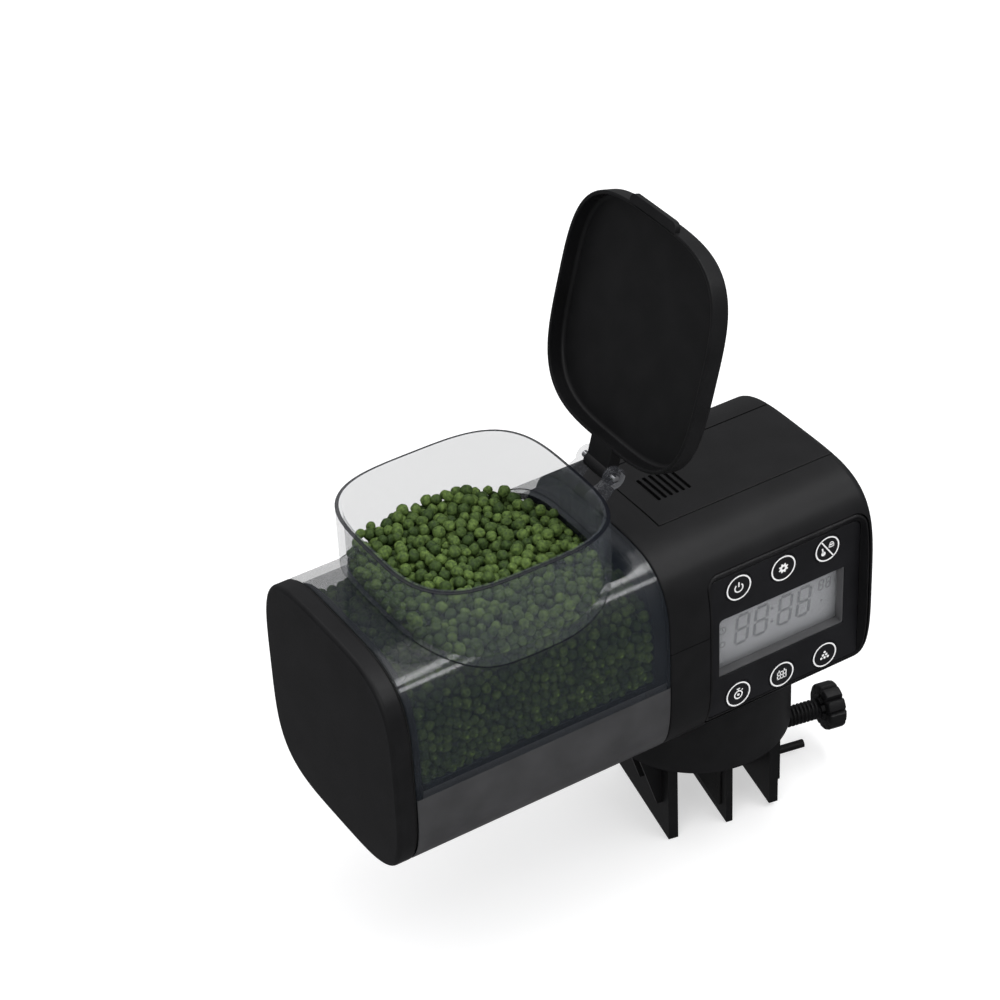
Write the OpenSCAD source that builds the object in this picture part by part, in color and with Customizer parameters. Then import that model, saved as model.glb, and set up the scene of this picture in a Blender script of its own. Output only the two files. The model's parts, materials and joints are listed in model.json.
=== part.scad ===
// Automatic fish feeder: a screw-fed food barrel and hopper beside a battery-powered control
// body, swivelling on a clamp that grips a tank wall.
// Millimetres, +Z up. The origin is on the swivel axis at the level where the tank rim rests.
// +X runs from the food barrel to the right end of the body, -Y is the side with the display.

/* [Body and barrel] */
// Width across the rounded-square section
section_w = 70; // [68:0.5:72]
// Height of the rounded-square section
section_h = 70; // [69:0.5:72]
// Length of the control body
body_len = 71; // [70:0.5:74]
// Length of the smoked food barrel
barrel_len = 82; // [80:1:96]
// Thickness of the black end cap
cap_len = 6.7; // [5:0.1:8]
// Wall thickness of the body shells
wall = 2; // [1.8:0.1:2.2]

/* [Hopper and lid] */
// Outside width of the square hopper
hopper_w = 65; // [60:0.5:65.5]
// Height of the hopper rim above the barrel axis
hopper_rise = 53; // [50:0.5:58]
// Angle between the closed lid and the lid as it stands
lid_open_angle = 105; // [90:1:110]

/* [Clamp] */
// Turn of the clamp from the body axis, in degrees
swivel_angle = 11; // [0:1:45]
// Gap between the fixed jaw and the moving jaw
jaw_gap = 15.7; // [8:0.1:18]
// Depth of the jaws below the tank rim
jaw_drop = 30; // [28:1:36]

/* [Feed screw] */
// Outside radius of the feed screw
auger_r = 10.5; // [9:0.1:10.8]
// Pitch of the feed screw
auger_pitch = 16; // [12:1:22]

/* [Hidden] */
$fn = 64;
cut = 0.01;
run_gap = 0.3;
axis_z = 53;
seam_x = -32.5;
body_x1 = seam_x + body_len;
barrel_x0 = seam_x - barrel_len;
cap_x0 = barrel_x0 - cap_len;
section_power = 4;
section_points = 96;
split_z = axis_z + 6.5;
split_gap = 0.15;
end_steps = 4;
end_round = 3;
// skirt and swivel
skirt_r = 28.5;
disc_r = 26.2;
disc_t = 5;
hub_r = 8;
hub_top = 24;
boss_r = 12;
// front panel
panel_x0 = -17.5;
panel_x1 = 35;
panel_z0 = 27.3;
panel_z1 = 75.2;
panel_y = -31.6;
panel_t = 0.8;
bezel_margin = 1.5;
bezel_back = -28.4;
lcd_x0 = -13.7;
lcd_x1 = 29.9;
lcd_z0 = 40.4;
lcd_z1 = 60.6;
key_x0 = -7.2;
key_pitch = 15.3;
key_row_low = 31.5;
key_row_high = 69.8;
key_r = 4.5;
key_proud = 0.15;
key_flange_r = 5.1;
switch_face = -27.6;
board_y = -24;
board_t = 1.6;
// battery bay
cover_x0 = -22.4;
cover_half = 15.2;
tongue = 1.4;
cell_r = 7.2;
cell_len = 50.5;
cell_x0 = -17.6;
cell_y = 7.4;
cell_z = axis_z + 24.4;
bay_floor = 68;
// gears
tooth_module = 0.6;
pressure_angle = 25;
small_teeth = 12;
large_teeth = 36;
feed_z = 33.5;
gear_step = tooth_module * (small_teeth + large_teeth) / 2;
idler_angle = 45;
motor_angle = 150;
idler_y = gear_step * cos(idler_angle);
idler_z = feed_z + gear_step * sin(idler_angle);
motor_y = idler_y + gear_step * cos(motor_angle);
motor_z = idler_z + gear_step * sin(motor_angle);
gear_x0 = -29.5;
gear_w = 4;
idler_wheel_x0 = -25;
idler_wheel_w = 3;
frame_x0 = -20;
frame_t = 2;
motor_r = 12;
motor_len = 28;
shaft_end_r = 2.5;
// barrel
barrel_wall = 2;
liner_gap = 0.05;
liner_edge = axis_z - 2.4;
bulkhead_x0 = -39.5;
bulkhead_top_x0 = -36.5;
bulkhead_t = 2;
outlet_x0 = -110;
outlet_x1 = -97;
outlet_half = 7;
trough_r = auger_r + 0.6;
liner_floor = 1.4;
// hopper and lid
hopper_x = seam_x - 40.1;
hopper_z = axis_z + hopper_rise;
hopper_wall = 1.8;
hopper_power = 3.5;
hinge_x = seam_x + 1.3;
hinge_z = hopper_z - 3.4;
knuckle_r = 3.3;
knuckle_half = 5;
ear_y0 = 5.3;
ear_t = 2.2;
pin_r = 1;
lid_clear = 0.5;
lid_wall = 1.1;
lid_rim_z = hopper_z - 4.6;
lid_top_z = hopper_z + 1.2;
lid_plate = 1.1;
lid_tab_half = 10.5;
lid_tab_t = 1.6;
// clamp
fixed_jaw_x0 = -17.2;
fixed_jaw_x1 = -14.1;
moving_jaw_x0 = fixed_jaw_x1 + jaw_gap;
moving_jaw_t = 2.1;
outer_wall_x0 = 16.2;
outer_wall_x1 = 19.1;
outer_boss_x1 = 24;
jaw_half = 18.8;
screw_z = -13.3;
screw_r = 3.2;
guide_z = -25.6;
guide_r = 1.3;
knob_x0 = 41.5;
knob_x1 = 47.5;
knob_r = 7.3;
knob_lobes = 10;
socket_x1 = 7.4;

// ---- shared shapes ----

function power_point(a, p, w, h) = [
    sign(cos(a)) * pow(abs(cos(a)), 2 / p) * w / 2,
    sign(sin(a)) * pow(abs(sin(a)), 2 / p) * h / 2];

function rounded_square(w, h, p) =
    [for (i = [0:section_points - 1]) power_point(360 * (i + 0.5) / section_points, p, w, h)];

// A bar with the body section, shrunk by inset, between two X positions
module section_bar(x0, x1, inset) {
    translate([x0, 0, axis_z])
        rotate([90, 0, 90])
            linear_extrude(x1 - x0)
                polygon(rounded_square(section_w - 2 * inset, section_h - 2 * inset, section_power));
}

// An upright prism with the hopper section
module hopper_bar(z0, z1, grow) {
    translate([hopper_x, 0, z0])
        linear_extrude(z1 - z0)
            polygon(rounded_square(hopper_w + 2 * grow, hopper_w + 2 * grow, hopper_power));
}

// A cylinder along +X
module x_rod(x0, x1, r, y, z) {
    translate([x0, y, z])
        rotate([0, 90, 0])
            cylinder(h = x1 - x0, r = r);
}

// A cylinder along +Y
module y_rod(y0, y1, r, x, z) {
    translate([x, y1, z])
        rotate([90, 0, 0])
            cylinder(h = y1 - y0, r = r);
}

// A box from its two corners
module span(a, b) {
    translate(a)
        cube(b - a);
}

// Points up one flank of an involute tooth, as [radius, angle]
function roll_angle(rb, r) = sqrt(max(0, pow(r / rb, 2) - 1)) * 180 / PI;
function flank_angle(rb, r) = roll_angle(rb, r) - atan(roll_angle(rb, r) * PI / 180);

flank_steps = 5;
backlash = 0.07;

function tooth_half(teeth, r) =
    let (rp = tooth_module * teeth / 2, rb = rp * cos(pressure_angle))
    90 / teeth - backlash / rp * 180 / PI + flank_angle(rb, rp) - flank_angle(rb, max(r, rb));

function flank_radius(teeth, i) =
    let (rp = tooth_module * teeth / 2, r0 = rp - 1.2 * tooth_module, r1 = rp + 0.9 * tooth_module)
    r0 + (r1 - r0) * i / flank_steps;

function tooth_points(teeth, a) = concat(
    [for (i = [0:flank_steps]) let (r = flank_radius(teeth, i), t = a - tooth_half(teeth, r))
        [r * cos(t), r * sin(t)]],
    [for (i = [flank_steps:-1:0]) let (r = flank_radius(teeth, i), t = a + tooth_half(teeth, r))
        [r * cos(t), r * sin(t)]]);

// A spur gear along +X, with one tooth centred on the given angle from +Y towards +Z
module spur_gear(x0, w, teeth, y, z, phase) {
    translate([x0, y, z])
        rotate([90, 0, 90])
            linear_extrude(w)
                polygon([for (k = [0:teeth - 1]) each tooth_points(teeth, phase + 360 * k / teeth)]);
}

// The closed end of the body: slices that follow a rounded edge
module rounded_end(x1, inset) {
    for (i = [0:end_steps - 1]) {
        a = 90 * (i + 1) / (end_steps + 1);
        x = x1 - end_round * (1 - sin(a));
        span_len = end_round * (sin(a) - sin(a - 90 / (end_steps + 1)));
        section_bar(x - span_len - cut, x, inset + end_round * (1 - cos(a)) / 3);
    }
}

module body_blank() {
    section_bar(seam_x, body_x1 - end_round, 0);
    rounded_end(body_x1, 0);
}

module body_hollow() {
    section_bar(seam_x + wall, body_x1 - wall, wall);
}

// Everything in the clamp's own frame turns with the swivel angle
module clamp_frame() {
    rotate([0, 0, -swivel_angle])
        children();
}

// ---- clamp ----

module clamp_gusset(y) {
    translate([fixed_jaw_x0 + cut, y + 1, 0])
        rotate([90, 0, 0])
            linear_extrude(2)
                polygon([[0, cut], [0, -19], [-1.5, -19], [-6.5, -1.5], [-6.5, -run_gap], [-4.8, -run_gap],
                    [-4.8, cut]]);
}

module clamp_base() {
    color("#202123")
        clamp_frame()
            difference() {
                union() {
                    cylinder(h = disc_t, r = disc_r);
                    cylinder(h = hub_top, r = hub_r);
                    span([fixed_jaw_x0, -jaw_half, -jaw_drop], [fixed_jaw_x1, jaw_half, cut]);
                    span([outer_wall_x0, -17.8, -jaw_drop + 1.5], [outer_wall_x1, 17.8, cut]);
                    span([outer_wall_x1 - cut, -9, -jaw_drop + 1.5], [outer_boss_x1, 9, cut]);
                    for (y = [-13, 0, 13])
                        clamp_gusset(y);
                }
                x_rod(outer_wall_x0 - 1, outer_boss_x1 + 1, screw_r + 0.1, 0, screw_z);
                x_rod(outer_wall_x0 - 1, outer_boss_x1 + 1, guide_r + 0.1, 0, guide_z);
                translate([0, 0, hub_top - 12])
                    cylinder(h = 13, r = 1.25);
                for (a = [45:90:315])
                    rotate([0, 0, a])
                        translate([15, 0, -1])
                            cylinder(h = disc_t + 2, r = 2.5);
            }
}

module jaw_pad_fixed() {
    color("#151515")
        clamp_frame()
            span([fixed_jaw_x1, -15, -26], [fixed_jaw_x1 + 0.8, 15, -4]);
}

module swivel_washer() {
    color("#b8bcc0")
        translate([0, 0, hub_top])
            difference() {
                cylinder(h = 1.2, r = 10.5);
                translate([0, 0, -1])
                    cylinder(h = 3, r = 1.7);
            }
}

module swivel_screw() {
    color("#9da2a6")
        difference() {
            union() {
                translate([0, 0, hub_top - 10])
                    cylinder(h = 11.2 + cut, r = 1.25);
                translate([0, 0, hub_top + 1.2])
                    cylinder(h = 2, r = 3);
            }
            for (a = [0, 90])
                rotate([0, 0, a])
                    span([-1.8, -0.35, hub_top + 2.2], [1.8, 0.35, hub_top + 4]);
        }
}

module moving_jaw() {
    color("#202123")
        clamp_frame()
            difference() {
                union() {
                    span([moving_jaw_x0, -jaw_half, -jaw_drop],
                        [moving_jaw_x0 + moving_jaw_t, jaw_half, -0.6]);
                    x_rod(moving_jaw_x0 + 1, socket_x1, 5.2, 0, screw_z);
                    x_rod(moving_jaw_x0 + 1, 36.1, guide_r, 0, guide_z);
                }
                x_rod(socket_x1 - 3, socket_x1 + 1, 2.6, 0, screw_z);
            }
}

module jaw_pad_moving() {
    color("#151515")
        clamp_frame()
            span([moving_jaw_x0 - 0.8, -15, -26], [moving_jaw_x0, 15, -4]);
}

module thumb_screw() {
    color("#191a1b")
        clamp_frame()
            difference() {
                union() {
                    x_rod(socket_x1 - 2.8, socket_x1 + 1, 2.5, 0, screw_z);
                    x_rod(socket_x1 + 0.4, knob_x0 + 1, screw_r, 0, screw_z);
                    x_rod(knob_x0, knob_x1, knob_r, 0, screw_z);
                    x_rod(knob_x0 - 1, knob_x0 + 1, 4.6, 0, screw_z);
                }
                for (k = [0:knob_lobes - 1]) {
                    a = 360 * (k + 0.5) / knob_lobes;
                    x_rod(knob_x0 - 0.5, knob_x1 + 1, 1.2, (knob_r + 0.45) * cos(a),
                        screw_z + (knob_r + 0.45) * sin(a));
                }
                x_rod(knob_x1 - 0.8, knob_x1 + 1, 4.4, 0, screw_z);
            }
}

// ---- body shells ----

housing_screw_x = [-26.3, 33.6];
housing_screw_y = 25.2;

module panel_window(grow) {
    span([panel_x0 - bezel_margin - grow, -section_w, panel_z0 - bezel_margin - grow],
        [panel_x1 + bezel_margin + grow, bezel_back + grow, panel_z1 + 2 * bezel_margin + grow]);
}

module screw_boss(x, y, z0, z1) {
    translate([x, y, z0])
        cylinder(h = z1 - z0, r = 2.8);
}

module housing_lower() {
    color("#232426")
        difference() {
            union() {
                difference() {
                    union() {
                        intersection() {
                            body_blank();
                            span([seam_x - 1, -section_w, 0], [body_x1 + 1, section_w, split_z - split_gap]);
                        }
                        cylinder(h = 24, r = skirt_r);
                    }
                    intersection() {
                        body_hollow();
                        span([seam_x, -section_w, 0], [body_x1, section_w, split_z + 1]);
                    }
                    translate([0, 0, -cut])
                        cylinder(h = 16, r = 26.5);
                    translate([0, 0, 20])
                        cylinder(h = 20, r = 26.5);
                }
                translate([0, 0, disc_t + run_gap])
                    cylinder(h = hub_top - disc_t - 2 * run_gap, r = boss_r);
                intersection() {
                    section_bar(seam_x, body_x1, wall / 2);
                    for (x = housing_screw_x, y = [-housing_screw_y, housing_screw_y])
                        screw_boss(x, y, 18, split_z - split_gap);
                }
            }
            translate([0, 0, -1])
                cylinder(h = 40, r = hub_r + 0.08);
            for (x = housing_screw_x, y = [-housing_screw_y, housing_screw_y]) {
                translate([x, y, 10])
                    cylinder(h = 60, r = 1.4);
                translate([x, y, 10])
                    cylinder(h = 15, r = 2.4);
            }
            x_rod(seam_x - 1, seam_x + wall + 1, 5, 0, feed_z);
            x_rod(seam_x + 0.8, seam_x + wall + 1, 1.3, idler_y, idler_z);
            for (y = [-22, 22])
                x_rod(seam_x - 1, seam_x + wall + 1, 1.4, y, 36);
            panel_window(0);
        }
}

module housing_upper() {
    color("#232426")
        difference() {
            union() {
                difference() {
                    body_blank();
                    body_hollow();
                }
                intersection() {
                    section_bar(seam_x, body_x1, wall / 2);
                    for (x = housing_screw_x, y = [-housing_screw_y, housing_screw_y])
                        screw_boss(x, y, split_z, axis_z + 34);
                }
            }
            span([seam_x - 1, -section_w, 0], [body_x1 + 1, section_w, split_z]);
            for (x = housing_screw_x, y = [-housing_screw_y, housing_screw_y])
                translate([x, y, split_z - 1])
                    cylinder(h = 11, r = 1.1);
            for (y = [-22, 22])
                x_rod(seam_x - 1, seam_x + wall + 1, 1.4, y, 70);
            panel_window(0);
            span([cover_x0 - 0.2, -cover_half - 0.2, axis_z + 25],
                [body_x1 + 1, cover_half + 0.2, axis_z + 40]);
            span([body_x1 - wall - 2, -cover_half - tongue - 0.3, axis_z + 29.5],
                [body_x1 + 1, cover_half + tongue + 0.3, axis_z + 31.8]);
        }
}

module housing_screws() {
    color("#a9adb1")
        for (x = housing_screw_x, y = [-housing_screw_y, housing_screw_y])
            translate([x, y, 0])
                difference() {
                    union() {
                        translate([0, 0, 24])
                            cylinder(h = 44, r = 1.1);
                        translate([0, 0, 23.2])
                            cylinder(h = 1.8, r = 2.2);
                    }
                    for (a = [0, 90])
                        rotate([0, 0, a])
                            span([-1.5, -0.3, 22], [1.5, 0.3, 24]);
                }
}

// ---- front panel ----

key_rows = [key_row_high, key_row_low];

module lcd_box(y0, y1, grow) {
    span([lcd_x0 - grow, y0, lcd_z0 - grow], [lcd_x1 + grow, y1, lcd_z1 + grow]);
}

module front_bezel() {
    color("#1c1d1f")
        difference() {
            span([panel_x0 - bezel_margin + 0.1, -33.4, panel_z0 - bezel_margin + 0.1],
                [panel_x1 + bezel_margin - 0.1, bezel_back - 0.1, panel_z1 + 2 * bezel_margin - 0.1]);
            // The rim of the bezel follows the bulge of the body
            difference() {
                span([-60, -40, 0], [60, -20, 120]);
                section_bar(-61, 61, 0);
            }
            // Flat pocket with a sloping border for the film
            span([panel_x0 - 0.1, -40, panel_z0 - 0.1], [panel_x1 + 0.1, panel_y + panel_t, panel_z1 + 0.1]);
            translate([0, 0, panel_z1 + 0.1 - cut])
                rotate([90, 0, 90])
                    translate([0, 0, panel_x0 - 0.1])
                        linear_extrude(panel_x1 - panel_x0 + 0.2)
                            polygon([[panel_y - 0.2, 0], [-36, 0], [-36, 2.6], [-33.4, 1.1]]);
            lcd_box(-40, -20, 0);
            for (i = [0:2], z = key_rows)
                y_rod(-40, -20, key_flange_r + 0.4, key_x0 + key_pitch * i, z);
        }
}

module panel_film() {
    color("#0c0d0e")
        difference() {
            span([panel_x0, panel_y, panel_z0], [panel_x1, panel_y + panel_t, panel_z1]);
            lcd_box(-40, -20, 0);
            for (i = [0:2], z = key_rows)
                y_rod(-40, -20, key_r + 0.3, key_x0 + key_pitch * i, z);
        }
}

module lcd_window() {
    color("#c8ccd0")
        lcd_box(bezel_back, bezel_back + 1, 1);
}

module lcd_module() {
    color("#b9beb8")
        union() {
            lcd_box(bezel_back + 1.1, bezel_back + 3, 0.7);
            span([lcd_x0 + 2, bezel_back + 3 - cut, lcd_z0 - 2.5], [lcd_x1 - 2, board_y, lcd_z0 + 2]);
        }
}

module main_board() {
    color("#1f5f3a")
        union() {
            difference() {
                span([-16, board_y, 27], [29.5, board_y + board_t, 74]);
                for (x = [-13.5, 27], z = [29.5, 71.5])
                    y_rod(board_y - 1, board_y + board_t + 1, 1.2, x, z);
            }
            span([-2, board_y + board_t - cut, 48], [8, board_y + board_t + 1.6, 58]);
            span([14, board_y + board_t - cut, 34], [20, board_y + board_t + 2.4, 44]);
            for (z = [60, 66])
                y_rod(board_y + board_t - cut, board_y + board_t + 5, 2.4, 18, z);
        }
}

module tact_switches() {
    color("#cfd2d4")
        for (i = [0:2], z = key_rows)
            union() {
                translate([key_x0 + key_pitch * i, 0, z])
                    span([-3, switch_face + 0.3, -3], [3, board_y, 3]);
                y_rod(switch_face, switch_face + 0.4, 1.7, key_x0 + key_pitch * i, z);
            }
}

module key_cap(i, z) {
    x = key_x0 + key_pitch * i;
    color("#0c0d0e")
        union() {
            y_rod(panel_y - key_proud, panel_y + panel_t + 0.1, key_r, x, z);
            y_rod(panel_y + panel_t + 0.05, panel_y + panel_t + 0.7, key_flange_r, x, z);
            y_rod(panel_y + panel_t, switch_face - 0.45, 1.5, x, z);
        }
}

module key_power() {
    key_cap(0, key_row_high);
}

module key_settings() {
    key_cap(1, key_row_high);
}

module key_lock() {
    key_cap(2, key_row_high);
}

module key_timer() {
    key_cap(0, key_row_low);
}

module key_meals() {
    key_cap(1, key_row_low);
}

module key_portion() {
    key_cap(2, key_row_low);
}

// ---- battery bay ----

module battery_cover() {
    color("#232426")
        difference() {
            union() {
                intersection() {
                    difference() {
                        body_blank();
                        section_bar(seam_x - 1, body_x1 - wall, wall);
                    }
                    span([cover_x0, -cover_half, axis_z + 30], [body_x1 + 1, cover_half, axis_z + 40]);
                }
                for (s = [-1, 1])
                    scale([1, s, 1])
                        span([cover_x0 + 4, cover_half - 2.4, axis_z + 30],
                            [body_x1 - wall, cover_half + tongue, axis_z + 31.5]);
                for (s = [-1, 1])
                    scale([1, s, 1])
                        span([cover_x0 + 4, cover_half - 2.4, axis_z + 31.4],
                            [body_x1 - wall, cover_half - 0.6, axis_z + 33.5]);
            }
            for (i = [0:5])
                span([-15.5 + 2.04 * i - 0.5, -5.8, axis_z + 34.1], [-15.5 + 2.04 * i + 0.5, 5.8, axis_z + 40]);
        }
}

module battery_cells() {
    color("#3f6f9f")
        for (s = [-1, 1])
            union() {
                x_rod(cell_x0, cell_x0 + cell_len - 1.2, cell_r, s * cell_y, cell_z);
                if (s > 0)
                    x_rod(cell_x0 + cell_len - 1.3, cell_x0 + cell_len, 2.6, s * cell_y, cell_z);
                else
                    x_rod(cell_x0 - 1.1, cell_x0 + 0.1, 2.6, s * cell_y, cell_z);
            }
}

module battery_contacts() {
    color("#c9ccd0")
        for (s = [-1, 1], e = [0, 1])
            union() {
                x = e == 0 ? cell_x0 - 2.6 : cell_x0 + cell_len + 1.2;
                translate([x, s * cell_y, cell_z])
                    span([0, -4.5, -5], [0.4, 4.5, 5]);
                sprung = (s > 0 && e == 0) || (s < 0 && e == 1);
                if (sprung && e == 0)
                    x_rod(x + 0.3, cell_x0 - 0.05, 2.8, s * cell_y, cell_z);
                if (sprung && e == 1)
                    x_rod(cell_x0 + cell_len - 1.2 + 0.05, x + 0.1, 2.8, s * cell_y, cell_z);
                if (!sprung && e == 0)
                    x_rod(x + 0.3, cell_x0 - 1.15, 1.8, s * cell_y, cell_z);
                if (!sprung && e == 1)
                    x_rod(cell_x0 + cell_len + 0.05, x + 0.1, 1.8, s * cell_y, cell_z);
            }
}

module battery_bay() {
    color("#26272a")
        difference() {
            span([cell_x0 - 4.2, -cell_y - cell_r - 1.6, bay_floor],
                [cell_x0 + cell_len + 3.2, cell_y + cell_r + 1.6, cell_z + 4]);
            span([cell_x0 - 2.7, -cell_y - cell_r - 0.2, cell_z],
                [cell_x0 + cell_len + 1.7, cell_y + cell_r + 0.2, cell_z + 10]);
            for (s = [-1, 1])
                x_rod(cell_x0 - 2.7, cell_x0 + cell_len + 1.7, cell_r + 0.2, s * cell_y, cell_z);
        }
}

// ---- motor and gears ----

// Phases that put a tooth of one gear into a gap of the next one
idler_phase = motor_angle + 180 / large_teeth;
idler_small_phase = idler_angle + 180;
output_phase = idler_angle + 180 / large_teeth;
pinion_phase = motor_angle + 180;

module gear_frame() {
    color("#d8d9d6")
        difference() {
            union() {
                span([frame_x0, -16, 26], [frame_x0 + frame_t, 21, 64]);
                for (y = [-14, 18])
                    x_rod(seam_x + wall, frame_x0 + cut, 2, y, y < 0 ? 28 : 61);
            }
            x_rod(frame_x0 - 1, frame_x0 + frame_t + 1, 3.4, motor_y, motor_z);
            x_rod(frame_x0 - 1, frame_x0 + frame_t - 0.5, 1.3, idler_y, idler_z);
            x_rod(frame_x0 - 1, frame_x0 + frame_t + 1, shaft_end_r + 0.06, 0, feed_z);
            for (a = [0, 180])
                x_rod(frame_x0 - 1, frame_x0 + frame_t + 1, 1.2, motor_y + 8.5 * cos(a), motor_z + 8.5 * sin(a));
        }
}

module motor() {
    color("#a7abad")
        union() {
            x_rod(frame_x0 + frame_t, frame_x0 + frame_t + motor_len, motor_r, motor_y, motor_z);
            x_rod(frame_x0 + frame_t - 1, frame_x0 + frame_t + cut, 3, motor_y, motor_z);
            x_rod(frame_x0 + frame_t + motor_len - cut, frame_x0 + frame_t + motor_len + 1.6, 5, motor_y, motor_z);
        }
}

module motor_pinion() {
    color("#d9a441")
        union() {
            spur_gear(idler_wheel_x0, idler_wheel_w, small_teeth, motor_y, motor_z, pinion_phase);
            x_rod(idler_wheel_x0 - 1, frame_x0 + frame_t - 1.2, 1, motor_y, motor_z);
        }
}

module idler_gear() {
    color("#e9e7df")
        difference() {
            union() {
                spur_gear(idler_wheel_x0, idler_wheel_w, large_teeth, idler_y, idler_z, idler_phase);
                spur_gear(gear_x0, gear_w + 0.6, small_teeth, idler_y, idler_z, idler_small_phase);
            }
            x_rod(gear_x0 - 1, idler_wheel_x0 + 5, 1.3, idler_y, idler_z);
        }
}

module idler_pin() {
    color("#b8bcc0")
        x_rod(seam_x + 0.9, frame_x0 + frame_t - 0.6, 1.25, idler_y, idler_z);
}

module output_gear() {
    color("#e9e7df")
        difference() {
            union() {
                spur_gear(gear_x0, gear_w, large_teeth, 0, feed_z, output_phase);
                x_rod(gear_x0 - 0.4, gear_x0 + gear_w + 0.2, 5, 0, feed_z);
            }
            x_rod(gear_x0 - 1, gear_x0 + gear_w + 2, 3, 0, feed_z);
        }
}

module drive_shaft() {
    color("#b8bcc0")
        union() {
            x_rod(seam_x - 3, gear_x0 + gear_w + 0.2, 3, 0, feed_z);
            x_rod(gear_x0 + gear_w, frame_x0 + frame_t + 1.5, shaft_end_r, 0, feed_z);
            translate([0, 0, feed_z])
                span([bulkhead_x0 - 3, -2, -2], [seam_x - 3 + cut, 2, 2]);
        }
}

module shaft_bush() {
    color("#c9a24a")
        difference() {
            union() {
                x_rod(seam_x - 0.6, seam_x + wall, 5, 0, feed_z);
                x_rod(seam_x - 1.6, seam_x - 0.5, 6, 0, feed_z);
            }
            x_rod(seam_x - 3, seam_x + wall + 1, 3.06, 0, feed_z);
        }
}

// ---- food barrel ----

flight_angle = 36;
auger_x0 = -111.5;
auger_x1 = -41.5;

function flight_section() = concat(
    [for (i = [0:3]) [auger_r * cos(flight_angle * i / 3), auger_r * sin(flight_angle * i / 3)]],
    [for (i = [1:-1:0]) [2.4 * cos(flight_angle * i), 2.4 * sin(flight_angle * i)]]);

module feed_screw() {
    color("#5b5e62")
        difference() {
            union() {
                x_rod(auger_x0, bulkhead_x0 - 1, 3.2, 0, feed_z);
                translate([auger_x0 + 1, 0, feed_z])
                    rotate([90, 0, 90])
                        linear_extrude(auger_x1 - auger_x0 - 1, twist = -360 * (auger_x1 - auger_x0 - 1) / auger_pitch,
                            slices = 64)
                            polygon(flight_section());
                x_rod(auger_x1 - 1, bulkhead_x0 - 1, 6, 0, feed_z);
            }
            translate([0, 0, feed_z])
                span([bulkhead_x0 - 4, -2, -2], [bulkhead_x0, 2, 2]);
            x_rod(auger_x0 - 1, auger_x0 + 5, 1.6, 0, feed_z);
        }
}

module outlet_hole(z0, z1) {
    span([outlet_x0, -outlet_half, z0], [outlet_x1, outlet_half, z1]);
}

module barrel_shell() {
    color("#6d7176", 0.45)
        difference() {
            section_bar(barrel_x0, seam_x - 0.05, 0);
            section_bar(barrel_x0 - 1, seam_x + 1, barrel_wall);
            hopper_bar(axis_z, axis_z + 60, -hopper_wall);
            outlet_hole(0, axis_z - 20);
        }
}

module barrel_liner() {
    color("#2a2b2d")
        difference() {
            intersection() {
                section_bar(barrel_x0 + 3, bulkhead_x0 - 0.05, barrel_wall + liner_gap);
                span([barrel_x0, -section_w, 0], [seam_x, section_w, liner_edge]);
            }
            x_rod(barrel_x0, seam_x, trough_r, 0, feed_z);
            // Sloping sides that let the food run down to the screw
            translate([barrel_x0, 0, 0])
                rotate([90, 0, 90])
                    linear_extrude(barrel_len)
                        polygon([[-trough_r, feed_z], [-31.8, liner_edge - 1], [-31.8, liner_edge + 1],
                            [31.8, liner_edge + 1], [31.8, liner_edge - 1], [trough_r, feed_z]]);
            outlet_hole(0, feed_z);
        }
}

// One half of the section, from x0 to x1 and below or above a level
module section_part(x0, x1, z0, z1, inset) {
    intersection() {
        section_bar(x0, x1, inset);
        span([x0 - 1, -section_w, z0], [x1 + 1, section_w, z1]);
    }
}

// The bulkhead steps back above the liner's edge
module drive_bulkhead() {
    edge = barrel_wall + liner_gap;
    color("#1c1d1f")
        difference() {
            union() {
                difference() {
                    union() {
                        section_part(bulkhead_x0, seam_x - 0.05, 0, liner_edge, edge);
                        section_part(bulkhead_top_x0, seam_x - 0.05, liner_edge - 1, 100, edge);
                    }
                    section_part(bulkhead_x0 + bulkhead_t, seam_x + 1, 0, liner_edge - bulkhead_t, edge + 3);
                    section_bar(bulkhead_top_x0 + bulkhead_t, seam_x + 1, edge + 3);
                }
                for (y = [-22, 22], z = [36, 70])
                    x_rod(bulkhead_top_x0 + 1, seam_x - 0.05, 3, y, z);
                for (y = [-22, 22])
                    x_rod(bulkhead_x0 + 1, bulkhead_top_x0 + 2, 3, y, 36);
            }
            x_rod(bulkhead_x0 - 1, seam_x, 6.4, 0, feed_z);
            for (y = [-22, 22])
                x_rod(bulkhead_x0 + bulkhead_t + 0.5, seam_x, 1.1, y, 36);
            for (y = [-22, 22])
                x_rod(bulkhead_top_x0 + 0.6, seam_x, 1.1, y, 70);
        }
}

module bulkhead_screws() {
    color("#a9adb1")
        for (y = [-22, 22], z = [36, 70])
            union() {
                x_rod(seam_x - 3, seam_x + wall + 0.2, 1.1, y, z);
                x_rod(seam_x + wall, seam_x + wall + 1.6, 2.3, y, z);
            }
}

module cap_seal() {
    color("#303030")
        difference() {
            section_bar(barrel_x0 - 0.75, barrel_x0 - 0.05, 0.6);
            section_bar(barrel_x0 - 1, barrel_x0 + 1, barrel_wall + 0.2);
        }
}

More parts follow.
